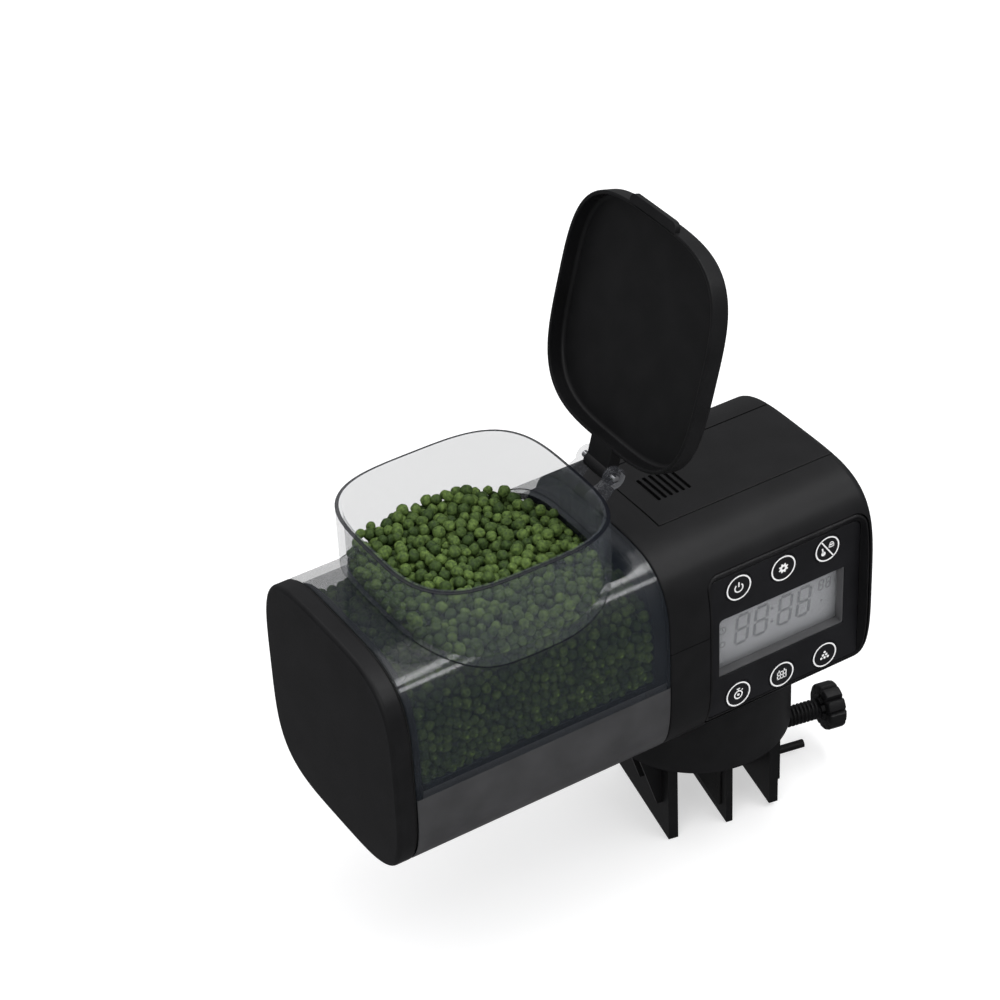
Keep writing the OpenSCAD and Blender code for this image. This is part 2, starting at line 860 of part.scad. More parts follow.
module end_cap() {
    color("#232426")
        union() {
            difference() {
                union() {
                    section_bar(cap_x0 + 2, barrel_x0 - 0.8, 0);
                    section_bar(cap_x0 + 1, barrel_x0 - 1, 0.35);
                    section_bar(cap_x0, barrel_x0 - 1, 0.9);
                }
                section_bar(cap_x0 + wall, barrel_x0 + 1, barrel_wall);
            }
            difference() {
                section_bar(cap_x0 + wall - cut, barrel_x0 + 2.6, barrel_wall + 0.3);
                section_bar(cap_x0 + wall - cut, barrel_x0 + 3, barrel_wall + 1.8);
            }
            x_rod(cap_x0 + wall - cut, auger_x0 + 4, 1.5, 0, feed_z);
            x_rod(cap_x0 + wall - cut, auger_x0 - 0.6, 4, 0, feed_z);
        }
}

// ---- hopper and lid ----

// An ear of the hinge, with a rib down the wall to the barrel
module hinge_ear(y) {
    wall_x = hopper_x + hopper_w / 2;
    span([wall_x - 1, y, axis_z + section_h / 2], [wall_x + 2.4, y + ear_t, hinge_z - 6]);
    span([wall_x - 1, y, hinge_z - 10], [hinge_x, y + ear_t, hinge_z - 2.6]);
    span([hinge_x - 3, y, hinge_z - 9], [hinge_x + 2, y + ear_t, hinge_z]);
    y_rod(y, y + ear_t, knuckle_r, hinge_x, hinge_z);
}

module hopper() {
    color("#6d7176", 0.45)
        difference() {
            union() {
                difference() {
                    hopper_bar(axis_z, hopper_z, 0);
                    section_bar(barrel_x0 - 20, seam_x + 20, 0);
                    hopper_bar(axis_z - 1, hopper_z + 1, -hopper_wall);
                }
                hinge_ear(ear_y0);
                hinge_ear(-ear_y0 - ear_t);
            }
            y_rod(-20, 20, pin_r, hinge_x, hinge_z);
        }
}

module lid_closed() {
    difference() {
        union() {
            hopper_bar(lid_rim_z, lid_top_z - 0.8, lid_clear + lid_wall);
            hopper_bar(lid_top_z - 1, lid_top_z, lid_clear + lid_wall - 0.7);
            span([hopper_x - hopper_w / 2 - 4, -lid_tab_half, lid_rim_z],
                [hopper_x - hopper_w / 2 - 1, lid_tab_half, lid_rim_z + lid_tab_t]);
            span([hopper_x + hopper_w / 2 + 0.7, -knuckle_half, hinge_z - 1.4],
                [hinge_x, knuckle_half, hinge_z + 2.2]);
            y_rod(-knuckle_half, knuckle_half, knuckle_r - 0.3, hinge_x, hinge_z);
        }
        hopper_bar(lid_rim_z - 1, lid_top_z - lid_plate, lid_clear);
        y_rod(-20, 20, pin_r + 0.06, hinge_x, hinge_z);
    }
}

module lid() {
    color("#1c1d1f")
        translate([hinge_x, 0, hinge_z])
            rotate([0, lid_open_angle, 0])
                translate([-hinge_x, 0, -hinge_z])
                    lid_closed();
}

module lid_pin() {
    color("#b8bcc0")
        y_rod(-ear_y0 - ear_t - 0.3, ear_y0 + ear_t + 0.3, pin_r, hinge_x, hinge_z);
}

clamp_base();
jaw_pad_fixed();
swivel_washer();
swivel_screw();
moving_jaw();
jaw_pad_moving();
thumb_screw();
housing_lower();
housing_upper();
housing_screws();
front_bezel();
panel_film();
lcd_window();
lcd_module();
main_board();
tact_switches();
key_power();
key_settings();
key_lock();
key_timer();
key_meals();
key_portion();
battery_cover();
battery_cells();
battery_contacts();
battery_bay();
gear_frame();
motor();
motor_pinion();
idler_gear();
idler_pin();
output_gear();
drive_shaft();
shaft_bush();
feed_screw();
barrel_shell();
barrel_liner();
drive_bulkhead();
bulkhead_screws();
cap_seal();
end_cap();
hopper();
lid();
lid_pin();
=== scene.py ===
"""Automatic fish feeder: its looks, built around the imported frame. Shapes are in millimetres."""

import json
import math

import bmesh
import bpy
import numpy as np
from mathutils import Matrix, Vector


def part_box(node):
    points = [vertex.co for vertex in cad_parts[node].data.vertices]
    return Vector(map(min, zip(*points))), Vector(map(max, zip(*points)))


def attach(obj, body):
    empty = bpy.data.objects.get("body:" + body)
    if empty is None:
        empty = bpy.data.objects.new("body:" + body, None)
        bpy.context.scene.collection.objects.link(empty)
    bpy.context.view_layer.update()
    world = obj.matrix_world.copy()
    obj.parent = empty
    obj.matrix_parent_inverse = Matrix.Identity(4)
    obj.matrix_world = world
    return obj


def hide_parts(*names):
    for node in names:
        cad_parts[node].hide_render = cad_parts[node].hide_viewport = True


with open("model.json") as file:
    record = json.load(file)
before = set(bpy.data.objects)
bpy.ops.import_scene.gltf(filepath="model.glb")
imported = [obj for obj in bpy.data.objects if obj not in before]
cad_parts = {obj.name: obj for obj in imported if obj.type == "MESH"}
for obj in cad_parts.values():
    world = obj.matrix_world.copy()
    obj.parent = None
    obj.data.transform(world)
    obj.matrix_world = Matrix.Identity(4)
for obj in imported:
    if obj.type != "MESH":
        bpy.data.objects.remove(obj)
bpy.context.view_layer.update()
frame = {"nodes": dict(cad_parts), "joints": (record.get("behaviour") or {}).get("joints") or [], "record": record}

MM = 0.001
CAD = frame["nodes"]


# ---- places, read from the frame ----


def node_box(node):
    """Lowest and highest corner of a CAD node, in millimetres"""
    low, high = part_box(node)
    return low / MM, high / MM


def joint(name):
    return next(j for j in frame["joints"] if j["name"] == name)


BODY_LOW, BODY_HIGH = node_box("housing_upper")
BARREL_LOW, BARREL_HIGH = node_box("barrel_shell")
CAP_LOW = node_box("end_cap")[0]
COVER_LOW, COVER_HIGH = node_box("battery_cover")
FILM_LOW, FILM_HIGH = node_box("panel_film")
BEZEL_LOW, BEZEL_HIGH = node_box("front_bezel")
LCD_LOW, LCD_HIGH = node_box("lcd_window")
LINER_LOW, LINER_HIGH = node_box("barrel_liner")
HOPPER_LOW, HOPPER_HIGH = node_box("hopper")
BULKHEAD_LOW = node_box("drive_bulkhead")[0]
FEED_LOW = node_box("feed_screw")[0]
HALF = (BARREL_HIGH.y - BARREL_LOW.y) / 2
AXIS_Z = (BARREL_HIGH.z + BARREL_LOW.z) / 2
SPLIT_Z = node_box("housing_lower")[1].z
HINGE = Vector(joint("lid_hinge")["pos_m"]) / MM
OPEN_ANGLE = -math.radians(joint("lid_hinge")["range_deg"][0])
FEED = Vector(joint("feed_spin")["pos_m"]) / MM
CLAMP_X = Vector(joint("jaw_slide")["axis"])
CLAMP_TURN = math.atan2(CLAMP_X.y, CLAMP_X.x)
SCREW_AXIS_Z = joint("screw_turn")["pos_m"][2] / MM

SECTION_POWER = 4
SECTION_POINTS = 176
WALL = 2
HOPPER_POWER = 3.5
HOPPER_POINTS = 160
HOPPER_WALL = 1.8
HOPPER_HALF = HOPPER_HIGH.y
HOPPER_X = HOPPER_LOW.x + HOPPER_HALF
HOPPER_INNER = HOPPER_HALF - HOPPER_WALL
LIP = 1.0
# height of the black band at the liner's top edge, which is painted shadow
LINER_SHADE_BAND = 2
OUTLET_X = (-110, -97)
OUTLET_HALF = 7
SHARP = 35


# ---- mesh tools ----


def link_object(name, data):
    obj = bpy.data.objects.new(name, data)
    bpy.context.scene.collection.objects.link(obj)
    return obj


def add_object(name, points, faces):
    """A mesh object from points in millimetres, with outward normals and smooth shading"""
    mesh = bpy.data.meshes.new(name)
    mesh.from_pydata([Vector(p) * MM for p in points], [], faces)
    obj = link_object(name, mesh)
    clean(obj)
    return obj


def shade(obj, sharp):
    """Smooth shading, except at edges sharper than an angle in degrees"""
    obj.data.shade_smooth()
    obj.data.set_sharp_from_angle(angle=math.radians(sharp))


def clean(obj, turn_outward=True):
    """Merges doubled points, shades the mesh and turns its faces outward"""
    work = bmesh.new()
    work.from_mesh(obj.data)
    bmesh.ops.remove_doubles(work, verts=work.verts, dist=1e-7)
    bmesh.ops.dissolve_degenerate(work, edges=work.edges, dist=1e-7)
    if turn_outward:
        bmesh.ops.recalc_face_normals(work, faces=work.faces)
    work.to_mesh(obj.data)
    work.free()
    shade(obj, SHARP)


def apply_modifiers(obj):
    graph = bpy.context.evaluated_depsgraph_get()
    mesh = bpy.data.meshes.new_from_object(obj.evaluated_get(graph))
    obj.modifiers.clear()
    obj.data = mesh


def carve(obj, *cutters, operation="DIFFERENCE"):
    """Cuts the cutters out of obj, or adds or intersects them, and removes them"""
    for cutter in cutters:
        modifier = obj.modifiers.new("cut", "BOOLEAN")
        modifier.operation = operation
        modifier.solver = "EXACT"
        modifier.object = cutter
        apply_modifiers(obj)
        bpy.data.objects.remove(cutter)
    clean(obj, turn_outward=False)


def join(name, objs):
    """Joins mesh objects into the first one"""
    base = objs[0]
    work = bmesh.new()
    for o in objs:
        work.from_mesh(o.data)
    work.to_mesh(base.data)
    work.free()
    for o in objs[1:]:
        bpy.data.objects.remove(o)
    base.name = name
    shade(base, SHARP)
    return base


def soften(obj, width):
    """Rounds the sharp edges a little and evens out the shading"""
    bevel = obj.modifiers.new("edges", "BEVEL")
    bevel.width = width * MM
    bevel.segments = 2
    bevel.limit_method = "ANGLE"
    bevel.angle_limit = math.radians(40)
    bevel.use_clamp_overlap = True
    bevel.miter_outer = "MITER_ARC"
    even_shading(obj)
    return obj


def even_shading(obj):
    normals = obj.modifiers.new("normals", "WEIGHTED_NORMAL")
    normals.keep_sharp = True
    return obj


def skin(name, rings, caps=(True, True), join_ends=False):
    """A closed surface through rings that all have the same number of points"""
    count = len(rings[0])
    points = [p for ring in rings for p in ring]
    faces = []
    for r in range(len(rings) if join_ends else len(rings) - 1):
        a = r * count
        b = ((r + 1) % len(rings)) * count
        for i in range(count):
            j = (i + 1) % count
            faces.append((a + i, a + j, b + j, b + i))
    if caps[0]:
        faces.append(tuple(range(count)))
    if caps[1]:
        faces.append(tuple(range(len(points) - 1, len(points) - count - 1, -1)))
    return add_object(name, points, faces)


def placed(axis, u, v, along):
    """The point with outline coordinates u, v and the given place along an axis"""
    return {"x": (along, u, v), "y": (u, along, v), "z": (u, v, along)}[axis]


def prism(name, outline, axis, low, high):
    rings = [[placed(axis, u, v, along) for u, v in outline] for along in (low, high)]
    return skin(name, rings)


def box_between(name, low, high):
    outline = [(low[0], low[1]), (high[0], low[1]), (high[0], high[1]), (low[0], high[1])]
    return prism(name, outline, "z", low[2], high[2])


def circle(radius, count, u=0.0, v=0.0, start=0.0):
    turns = [start + 2 * math.pi * i / count for i in range(count)]
    return [(u + radius * math.cos(t), v + radius * math.sin(t)) for t in turns]


def rod(name, axis, radius, u, v, low, high, count=48):
    return prism(name, circle(radius, count, u, v), axis, low, high)


def lathe(name, profile, axis, u, v, count):
    """A round solid from (radius, place along the axis) pairs; the ends are closed flat"""
    rings = [[placed(axis, *p, along) for p in circle(r, count, u, v)] for r, along in profile]
    return skin(name, rings)


def arc(radius_u, radius_v, steps):
    """Quarter-turn offsets from (0, radius_v) to (radius_u, 0)"""
    turns = [math.pi / 2 * i / steps for i in range(steps + 1)]
    return [(radius_u * math.sin(t), radius_v * math.cos(t)) for t in turns]


def even_angles(power, count):
    """Angles that put points at even distances along a rounded square"""
    fine = np.linspace(0, 2 * math.pi, 8001)
    u = np.sign(np.cos(fine)) * np.abs(np.cos(fine)) ** (2 / power)
    v = np.sign(np.sin(fine)) * np.abs(np.sin(fine)) ** (2 / power)
    length = np.concatenate([[0], np.cumsum(np.hypot(np.diff(u), np.diff(v)))])
    return np.interp((np.arange(count) + 0.5) / count * length[-1], length, fine)


def rounded_square(half, power, angles):
    u = np.sign(np.cos(angles)) * np.abs(np.cos(angles)) ** (2 / power) * half
    v = np.sign(np.sin(angles)) * np.abs(np.sin(angles)) ** (2 / power) * half
    return list(zip(u, v))


BODY_ANGLES = even_angles(SECTION_POWER, SECTION_POINTS)
HOPPER_ANGLES = even_angles(HOPPER_POWER, HOPPER_POINTS)


def section_ring(x, inset):
    """One ring of the body's rounded-square section"""
    outline = rounded_square(HALF - inset, SECTION_POWER, BODY_ANGLES)
    return [(x, y, AXIS_Z + z) for y, z in outline]


def section_edge(y):
    """Height of the section's surface above its axis, at a distance y from the middle"""
    share = min(abs(y) / HALF, 1)
    return HALF * (1 - share**SECTION_POWER) ** (1 / SECTION_POWER)


def section_norm(y, z):
    """Half-width of the rounded square about the body's axis that passes through a point"""
    return (abs(y) ** SECTION_POWER + abs(z - AXIS_Z) ** SECTION_POWER) ** (1 / SECTION_POWER)


def hopper_norm(x, y):
    """Half-width of the rounded square about the hopper's axis that passes through a point"""
    return (abs(x - HOPPER_X) ** HOPPER_POWER + abs(y) ** HOPPER_POWER) ** (1 / HOPPER_POWER)


def rounded_rectangle(x0, x1, z0, z1, radii, corner_steps=6, side_steps=20):
    """Anticlockwise outline from the lower left; radii are lower left, lower right, upper right,
    upper left. The sides are divided, so that the outline can follow a curved surface."""
    corners = [(x0, z0, 1, 1), (x1, z0, -1, 1), (x1, z1, -1, -1), (x0, z1, 1, -1)]
    outline = []
    for k, (x, z, sx, sz) in enumerate(corners):
        r = radii[k]
        centre = (x + sx * r, z + sz * r)
        start = math.pi + k * math.pi / 2
        for i in range(corner_steps + 1):
            t = start + math.pi / 2 * i / corner_steps
            outline.append((centre[0] + r * math.cos(t), centre[1] + r * math.sin(t)))
        after_x, after_z, after_sx, after_sz = corners[(k + 1) % 4]
        r_after = radii[(k + 1) % 4]
        end = (
            after_x + after_sx * r_after + r_after * math.cos(t),
            after_z + after_sz * r_after + r_after * math.sin(t),
        )
        begin = outline[-1]
        for i in range(1, side_steps):
            outline.append(tuple(a + (b - a) * (i / side_steps) for a, b in zip(begin, end)))
    return outline


# ---- materials ----


def principled(name):
    mat = bpy.data.materials.new(name)
    mat.use_nodes = True
    return mat, mat.node_tree, mat.node_tree.nodes["Principled BSDF"]


def connect(tree, node, **values):
    """Sets a node's inputs to plain values or links them; _ stands for a space in an input's name"""
    for name, value in values.items():
        socket = node.inputs[name.replace("_", " ")]
        if isinstance(value, bpy.types.NodeSocket):
            tree.links.new(value, socket)
        else:
            socket.default_value = value


def add(tree, kind, **values):
    node = tree.nodes.new("ShaderNode" + kind)
    connect(tree, node, **values)
    return node


def noise(tree, size, detail=3.0):
    """Noise in the object's own space; size is the width of one patch in millimetres"""
    place = add(tree, "TexCoord").outputs["Object"]
    return add(tree, "TexNoise", Vector=place, Scale=1 / (size * MM), Detail=detail).outputs["Fac"]


def map_range(tree, value, low, high):
    """Spreads a noise value over the range from low to high"""
    node = add(tree, "MapRange", Value=value, From_Min=0.3, From_Max=0.7, To_Min=low, To_Max=high)
    return node.outputs["Result"]


def colour_between(tree, value, dark, light):
    ramp = add(tree, "ValToRGB", Fac=value)
    for end, position, colour in zip(ramp.color_ramp.elements, (0.32, 0.68), (dark, light)):
        end.position = position
        end.color = (*colour, 1)
    return ramp.outputs["Color"]


def bump(tree, shader, height, depth):
    """Bump of a depth in millimetres"""
    node = add(tree, "Bump", Height=height, Strength=1, Distance=depth * MM)
    connect(tree, shader, Normal=node.outputs["Normal"])


def scaled(colour, factor):
    return tuple(c * factor for c in colour)


def surface(name, colour, rough, grain, depth, spread=0.12, specular=0.5, vary=0.15):
    """Opaque plastic, rubber or print: mottled colour, uneven gloss and a fine grain"""
    mat, tree, shader = principled(name)
    tint = colour_between(tree, noise(tree, 9.0), scaled(colour, 1 - vary), scaled(colour, 1 + vary))
    fine = noise(tree, grain, 2.0)
    gloss = map_range(tree, fine, rough - spread / 2, rough + spread / 2)
    connect(tree, shader, Base_Color=tint, Roughness=gloss, Specular_IOR_Level=specular)
    bump(tree, shader, fine, depth)
    return mat


def two_tone(name, low_colour, high_colour, level):
    """A matt surface whose colour changes at a height, in millimetres"""
    mat, tree, shader = principled(name)
    split = add(tree, "SeparateXYZ", Vector=add(tree, "TexCoord").outputs["Object"])
    above = add(tree, "Math", Value=split.outputs["Z"])
    above.operation = "GREATER_THAN"
    above.inputs[1].default_value = level * MM
    tint = colour_between(tree, above.outputs["Value"], low_colour, high_colour)
    fine = noise(tree, 0.35, 2.0)
    gloss = map_range(tree, fine, 0.46, 0.52)
    connect(tree, shader, Base_Color=tint, Roughness=gloss, Specular_IOR_Level=0.16)
    bump(tree, shader, fine, 0.01)
    return mat


def brushed(name, colour, rough):
    """Metal with fine scratches in one direction"""
    mat, tree, shader = principled(name)
    stretch = add(tree, "Mapping", Vector=add(tree, "TexCoord").outputs["Object"], Scale=(0.08, 1, 1))
    texture = add(tree, "TexNoise", Vector=stretch.outputs["Vector"], Scale=1 / (0.12 * MM), Detail=2)
    scratches = texture.outputs["Fac"]
    tint = colour_between(tree, scratches, scaled(colour, 0.85), colour)
    gloss = map_range(tree, scratches, rough - 0.06, rough + 0.08)
    connect(tree, shader, Base_Color=tint, Roughness=gloss, Metallic=1)
    bump(tree, shader, scratches, 0.004)
    return mat


def clear_plastic(name, colour, alpha, rough, ior=1.49, specular=0.5):
    """Tinted clear plastic with faint scuffs"""
    mat, tree, shader = principled(name)
    scuffs = noise(tree, 3.0, 5.0)
    tint = colour_between(tree, scuffs, scaled(colour, 0.9), scaled(colour, 1.1))
    gloss = map_range(tree, scuffs, rough - 0.03, rough + 0.05)
    connect(tree, shader, Base_Color=tint, Roughness=gloss, Specular_IOR_Level=specular)
    connect(tree, shader, Alpha=alpha, IOR=ior)
    return mat


def pellet_food():
    """Rough green pellets: each has its own tone, with a fine speckle of darker painted shade and paler, yellowish
    painted highlight
    """
    mat, tree, shader = principled("food_green")
    tone = add(tree, "Attribute")
    tone.attribute_name = "tone"
    body = colour_between(tree, tone.outputs["Fac"], (0.04, 0.074, 0.019), (0.112, 0.178, 0.048))
    # a fine speckle: the dark flecks are painted shade, the pale yellowish flecks painted highlight
    speckle = noise(tree, 0.9, 4.0)
    speckle_shade_and_highlight = colour_between(tree, speckle, (0.36, 0.42, 0.32), (1.3, 1.25, 1.05))
    mix = add(tree, "Mix")
    mix.data_type = "RGBA"
    mix.blend_type = "MULTIPLY"
    connect(tree, mix, Factor=1, A=body, B=speckle_shade_and_highlight)
    gloss = map_range(tree, speckle, 0.62, 0.82)
    connect(tree, shader, Base_Color=mix.outputs["Result"], Roughness=gloss, Specular_IOR_Level=0.3)
    bump(tree, shader, speckle, 0.35)
    return mat


BLACK = (0.0078, 0.0078, 0.0084)
LINER_GREY = (0.2, 0.2, 0.206)
MATERIALS = {
    "black_shell": surface("black_shell", BLACK, 0.42, 0.35, 0.012, 0.06, specular=0.16),
    "black_clamp": surface("black_clamp", scaled(BLACK, 0.8), 0.45, 0.4, 0.012, 0.06, specular=0.16),
    "jaw_pad": surface("jaw_pad", (0.012, 0.012, 0.012), 0.8, 0.5, 0.03, specular=0.2),
    "zinc_steel": brushed("zinc_steel", (0.62, 0.63, 0.65), 0.32),
    "polished_pin": brushed("polished_pin", (0.7, 0.71, 0.73), 0.16),
    "panel_black": surface("panel_black", (0.009, 0.009, 0.0105), 0.33, 0.25, 0.004, 0.04, specular=0.2),
    "bezel_black": surface("bezel_black", scaled(BLACK, 1.1), 0.4, 0.35, 0.01, 0.06, specular=0.18),
    "clear_window": clear_plastic("clear_window", (0.75, 0.78, 0.8), 0.06, 0.06),
    "lcd_grey": surface("lcd_grey", (0.24, 0.242, 0.252), 0.35, 0.6, 0.001, 0.02, 0.3, 0.04),
    "board_green": surface("board_green", (0.03, 0.16, 0.07), 0.3, 0.4, 0.01),
    "switch_grey": surface("switch_grey", (0.35, 0.36, 0.37), 0.4, 0.4, 0.01),
    "cell_wrap": surface("cell_wrap", (0.08, 0.22, 0.45), 0.28, 0.8, 0.006),
    "spring_steel": brushed("spring_steel", (0.66, 0.67, 0.68), 0.25),
    "bay_black": surface("bay_black", (0.015, 0.015, 0.016), 0.5, 0.35, 0.012),
    "frame_white": surface("frame_white", (0.62, 0.62, 0.58), 0.45, 0.4, 0.01, vary=0.05),
    "motor_can": brushed("motor_can", (0.55, 0.56, 0.58), 0.3),
    "brass_gear": brushed("brass_gear", (0.72, 0.52, 0.2), 0.25),
    "gear_white": surface("gear_white", (0.78, 0.76, 0.68), 0.38, 0.4, 0.008, vary=0.04),
    "bronze_bush": brushed("bronze_bush", (0.6, 0.42, 0.18), 0.4),
    "auger_grey": surface("auger_grey", (0.06, 0.06, 0.065), 0.4, 0.35, 0.01),
    "hopper_clear": clear_plastic("hopper_clear", (0.09, 0.1, 0.115), 0.24, 0.05, specular=0.6),
    "barrel_smoke": clear_plastic("barrel_smoke", (0.018, 0.023, 0.03), 0.36, 0.11, ior=1.6, specular=0.7),
    "liner_black": surface("liner_black", LINER_GREY, 0.5, 0.35, 0.01, 0.04, vary=0.06),
    "seal_black": surface("seal_black", (0.012, 0.012, 0.012), 0.7, 0.5, 0.02, specular=0.2),
}
# Painted shade: nearly opaque dark clear plastic for the lines along the hopper's rim and foot and for the
# barrel's cut faces at the back
PAINTED_EDGE_SHADE = clear_plastic("painted_edge_shade", (0.008, 0.009, 0.013), 0.93, 0.12, specular=0.3)
# Painted highlight: a pale clear material for the glints on the hinge ears
PAINTED_GLINT = clear_plastic("painted_glint", (0.55, 0.56, 0.58), 0.5, 0.08, specular=0.9)
CUT_CLEAR = clear_plastic("cut_clear", (0.1, 0.11, 0.12), 0.04, 0.1, specular=0.2)
BARREL_FROST = surface("barrel_frost", (0.043, 0.043, 0.045), 0.42, 0.35, 0.01, 0.05, specular=0.3)
EAR_CLEAR = clear_plastic("ear_clear", (0.1, 0.105, 0.12), 0.22, 0.08, specular=0.7)
# grey like the liner below the foot of the liner's painted shadow band, black above it
BULKHEAD_TONES = two_tone("bulkhead_tones", LINER_GREY, BLACK, LINER_HIGH.z - LINER_SHADE_BAND)
PRINT_WHITE = surface("print_white", (0.8, 0.8, 0.8), 0.5, 0.3, 0.002, vary=0.03)
LCD_INK = surface("lcd_ink", (0.12, 0.122, 0.13), 0.5, 0.4, 0.001, 0.02, vary=0.1)
LCD_WALL = surface("lcd_wall", (0.085, 0.085, 0.088), 0.5, 0.4, 0.004, 0.02, vary=0.1)
FOOD = pellet_food()


def finish_piece(obj, body, slot, nodes=(), mat=None):
    """Gives a piece its material, the given one or its slot's, and its body, and hides the CAD nodes that it
    stands for
    """
    obj.data.materials.clear()
    obj.data.materials.append(mat or MATERIALS[slot])
    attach(obj, body)
    if nodes:
        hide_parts(*nodes)
    return obj


def vary_faces(obj, materials, choose):
    """Adds materials; choose gives a face's material number from its centre and its normal"""
    for mat in materials:
        obj.data.materials.append(mat)
    for face in obj.data.polygons:
        face.material_index = choose(face.center / MM, face.normal)


# ---- CAD nodes that show as they are ----

SOFT_EDGE = {
    "clamp_base": 0.35,
    "moving_jaw": 0.3,
    "jaw_pad_fixed": 0.15,
    "jaw_pad_moving": 0.15,
    "battery_bay": 0.2,
    "motor": 0.3,
    "gear_frame": 0.2,
    "drive_bulkhead": 0.15,
    "main_board": 0.08,
    "tact_switches": 0.15,
    "battery_cells": 0.5,
    "housing_screws": 0.12,
    "swivel_screw": 0.12,
    "bulkhead_screws": 0.12,
    "lid_pin": 0.15,
}


def dress_cad_nodes():
    slots = {s["node"]: s["material_slot"] for s in frame["record"]["subparts"]}
    special = {"drive_bulkhead": BULKHEAD_TONES}
    for name, obj in CAD.items():
        mat = special.get(name, MATERIALS[slots[name]])
        for place in obj.material_slots:
            place.material = mat
        weld = obj.modifiers.new("weld", "WELD")
        weld.merge_threshold = 1e-6
        if name in SOFT_EDGE:
            obj.data.shade_smooth()
            soften(obj, SOFT_EDGE[name])
        else:
            shade(obj, 30)
            even_shading(obj)


# ---- body shells ----

END_ROUND = (2.6, 1.9)
LEFT_ROUND = (0.5, 0.5)
EDGE_STEPS = 6
CUT_GAP = 0.1
SEAM_GAP = 0.12
SHELL_EDGE = 0.14
BEYOND = 5


def body_solid(name, x0, x1):
    """The body's outer form between two X positions, with rounded edges"""
    (left_u, left_v), (right_u, right_v) = LEFT_ROUND, END_ROUND
    start = [(x0 + left_u - u, left_v - v) for u, v in arc(left_u, left_v, EDGE_STEPS)][::-1]
    stop = [(x1 - right_u + u, right_v - v) for u, v in arc(right_u, right_v, EDGE_STEPS)]
    middle = [(x0 + (x1 - x0) * f, 0) for f in (0.2, 0.4, 0.6, 0.8)]
    return skin(name, [section_ring(x, inset) for x, inset in start + middle + stop])


def body_shell(name):
    shell = body_solid(name, BODY_LOW.x + CUT_GAP, BODY_HIGH.x)
    inside = skin("inside", [section_ring(x, WALL) for x in (BODY_LOW.x + WALL, BODY_HIGH.x - WALL)])
    carve(shell, inside)
    return shell


WINDOW_ROUND = (1.6, 1.6, 4.0, 4.0)
WINDOW_GAP = 0.3


def panel_rectangle(low, high, radii, grow):
    """A rounded rectangle on the front, between two corners and grown by an amount"""
    grown = [r + grow for r in radii]
    return rounded_rectangle(low.x - grow, high.x + grow, low.z - grow, high.z + grow, grown)


def panel_outline(grow):
    """The edge of the bezel, or of its window in the shells, grown by an amount"""
    return panel_rectangle(BEZEL_LOW, BEZEL_HIGH, WINDOW_ROUND, grow)


def window_cutter():
    return prism("cutter", panel_outline(WINDOW_GAP), "y", BODY_LOW.y - BEYOND, BEZEL_HIGH.y + 0.2)


def half_cutter(low, high):
    """A block wider than the body, between two heights"""
    corner = (BODY_LOW.x - BEYOND, BODY_LOW.y - BEYOND, low)
    return box_between("cutter", corner, (BODY_HIGH.x + BEYOND, BODY_HIGH.y + BEYOND, high))


COVER_GAP = 0.28
COVER_HALF = COVER_HIGH.y - 1.4


def cover_region(name, grow):
    """A block that holds the battery cover, grown at its sides and its left end"""
    low = (COVER_LOW.x - grow, -COVER_HALF - grow, COVER_HIGH.z - BEYOND - grow)
    return box_between(name, low, (BODY_HIGH.x + 1, COVER_HALF + grow, COVER_HIGH.z + BEYOND))


SCREWS_LOW, SCREWS_HIGH = node_box("housing_screws")
SCREW_HEAD_R = 2.2
SCREW_X = [SCREWS_LOW.x + SCREW_HEAD_R, SCREWS_HIGH.x - SCREW_HEAD_R]
SCREW_Y = SCREWS_HIGH.y - SCREW_HEAD_R
BOSS_R = 2.8
BOSS_FOOT = 19.4
BOSS_TOP = AXIS_Z + 30
SCREW_HOLE = (2.4, 10, 25)
SKIRT_R = 28.5
SKIRT_TOP = 24
SKIRT_ROOMS = ((-1, 16), (20.2, 30))
HUB_HOLE_R = 8.08


def add_bosses(shell, low, high):
    """Screw bosses cut off at the body's outer surface"""
    for x in SCREW_X:
        for side in (-1, 1):
            boss = rod("boss", "z", BOSS_R, x, side * SCREW_Y, low, high)
            carve(boss, body_solid("keep", BODY_LOW.x + 0.5, BODY_HIGH.x - 0.3), operation="INTERSECT")
            carve(shell, boss, operation="UNION")


def make_upper_shell():
    shell = body_shell("upper_shell")
    carve(shell, half_cutter(0, SPLIT_Z + SEAM_GAP), window_cutter(), cover_region("cutter", COVER_GAP))
    add_bosses(shell, SPLIT_Z + SEAM_GAP, BOSS_TOP)
    soften(shell, SHELL_EDGE)
    finish_piece(shell, "housing", "black_shell", ["housing_upper"])


def make_lower_shell():
    shell = body_shell("lower_shell")
    carve(shell, half_cutter(SPLIT_Z - SEAM_GAP, BODY_HIGH.z + BEYOND), window_cutter())
    carve(shell, rod("skirt", "z", SKIRT_R, 0, 0, 0, SKIRT_TOP, 128), operation="UNION")
    for low, high in SKIRT_ROOMS:
        carve(shell, rod("cutter", "z", SKIRT_R - WALL, 0, 0, low, high, 96))
    carve(shell, rod("cutter", "z", HUB_HOLE_R, 0, 0, 10, 30))
    add_bosses(shell, BOSS_FOOT, SPLIT_Z - SEAM_GAP)
    radius, low, high = SCREW_HOLE
    holes = [rod("hole", "z", radius, x, s * SCREW_Y, low, high) for x in SCREW_X for s in (-1, 1)]
    carve(shell, *holes)
    soften(shell, SHELL_EDGE)
    finish_piece(shell, "housing", "black_shell", ["housing_lower"])


GROOVES = 6
GROOVE_PITCH = 2.04
GROOVE_X = -15.5
GROOVE_HALF = 5.8
GROOVE_W = 1.0
GROOVE_DEPTH = 0.95


def groove(i):
    """A grip groove with round ends, across the cover"""
    x = GROOVE_X + GROOVE_PITCH * i
    r = GROOVE_W / 2
    outline = rounded_rectangle(x - r, x + r, -GROOVE_HALF, GROOVE_HALF, [r * 0.98] * 4, 6, 1)
    return prism("groove", outline, "z", COVER_HIGH.z - GROOVE_DEPTH, COVER_HIGH.z + 2)


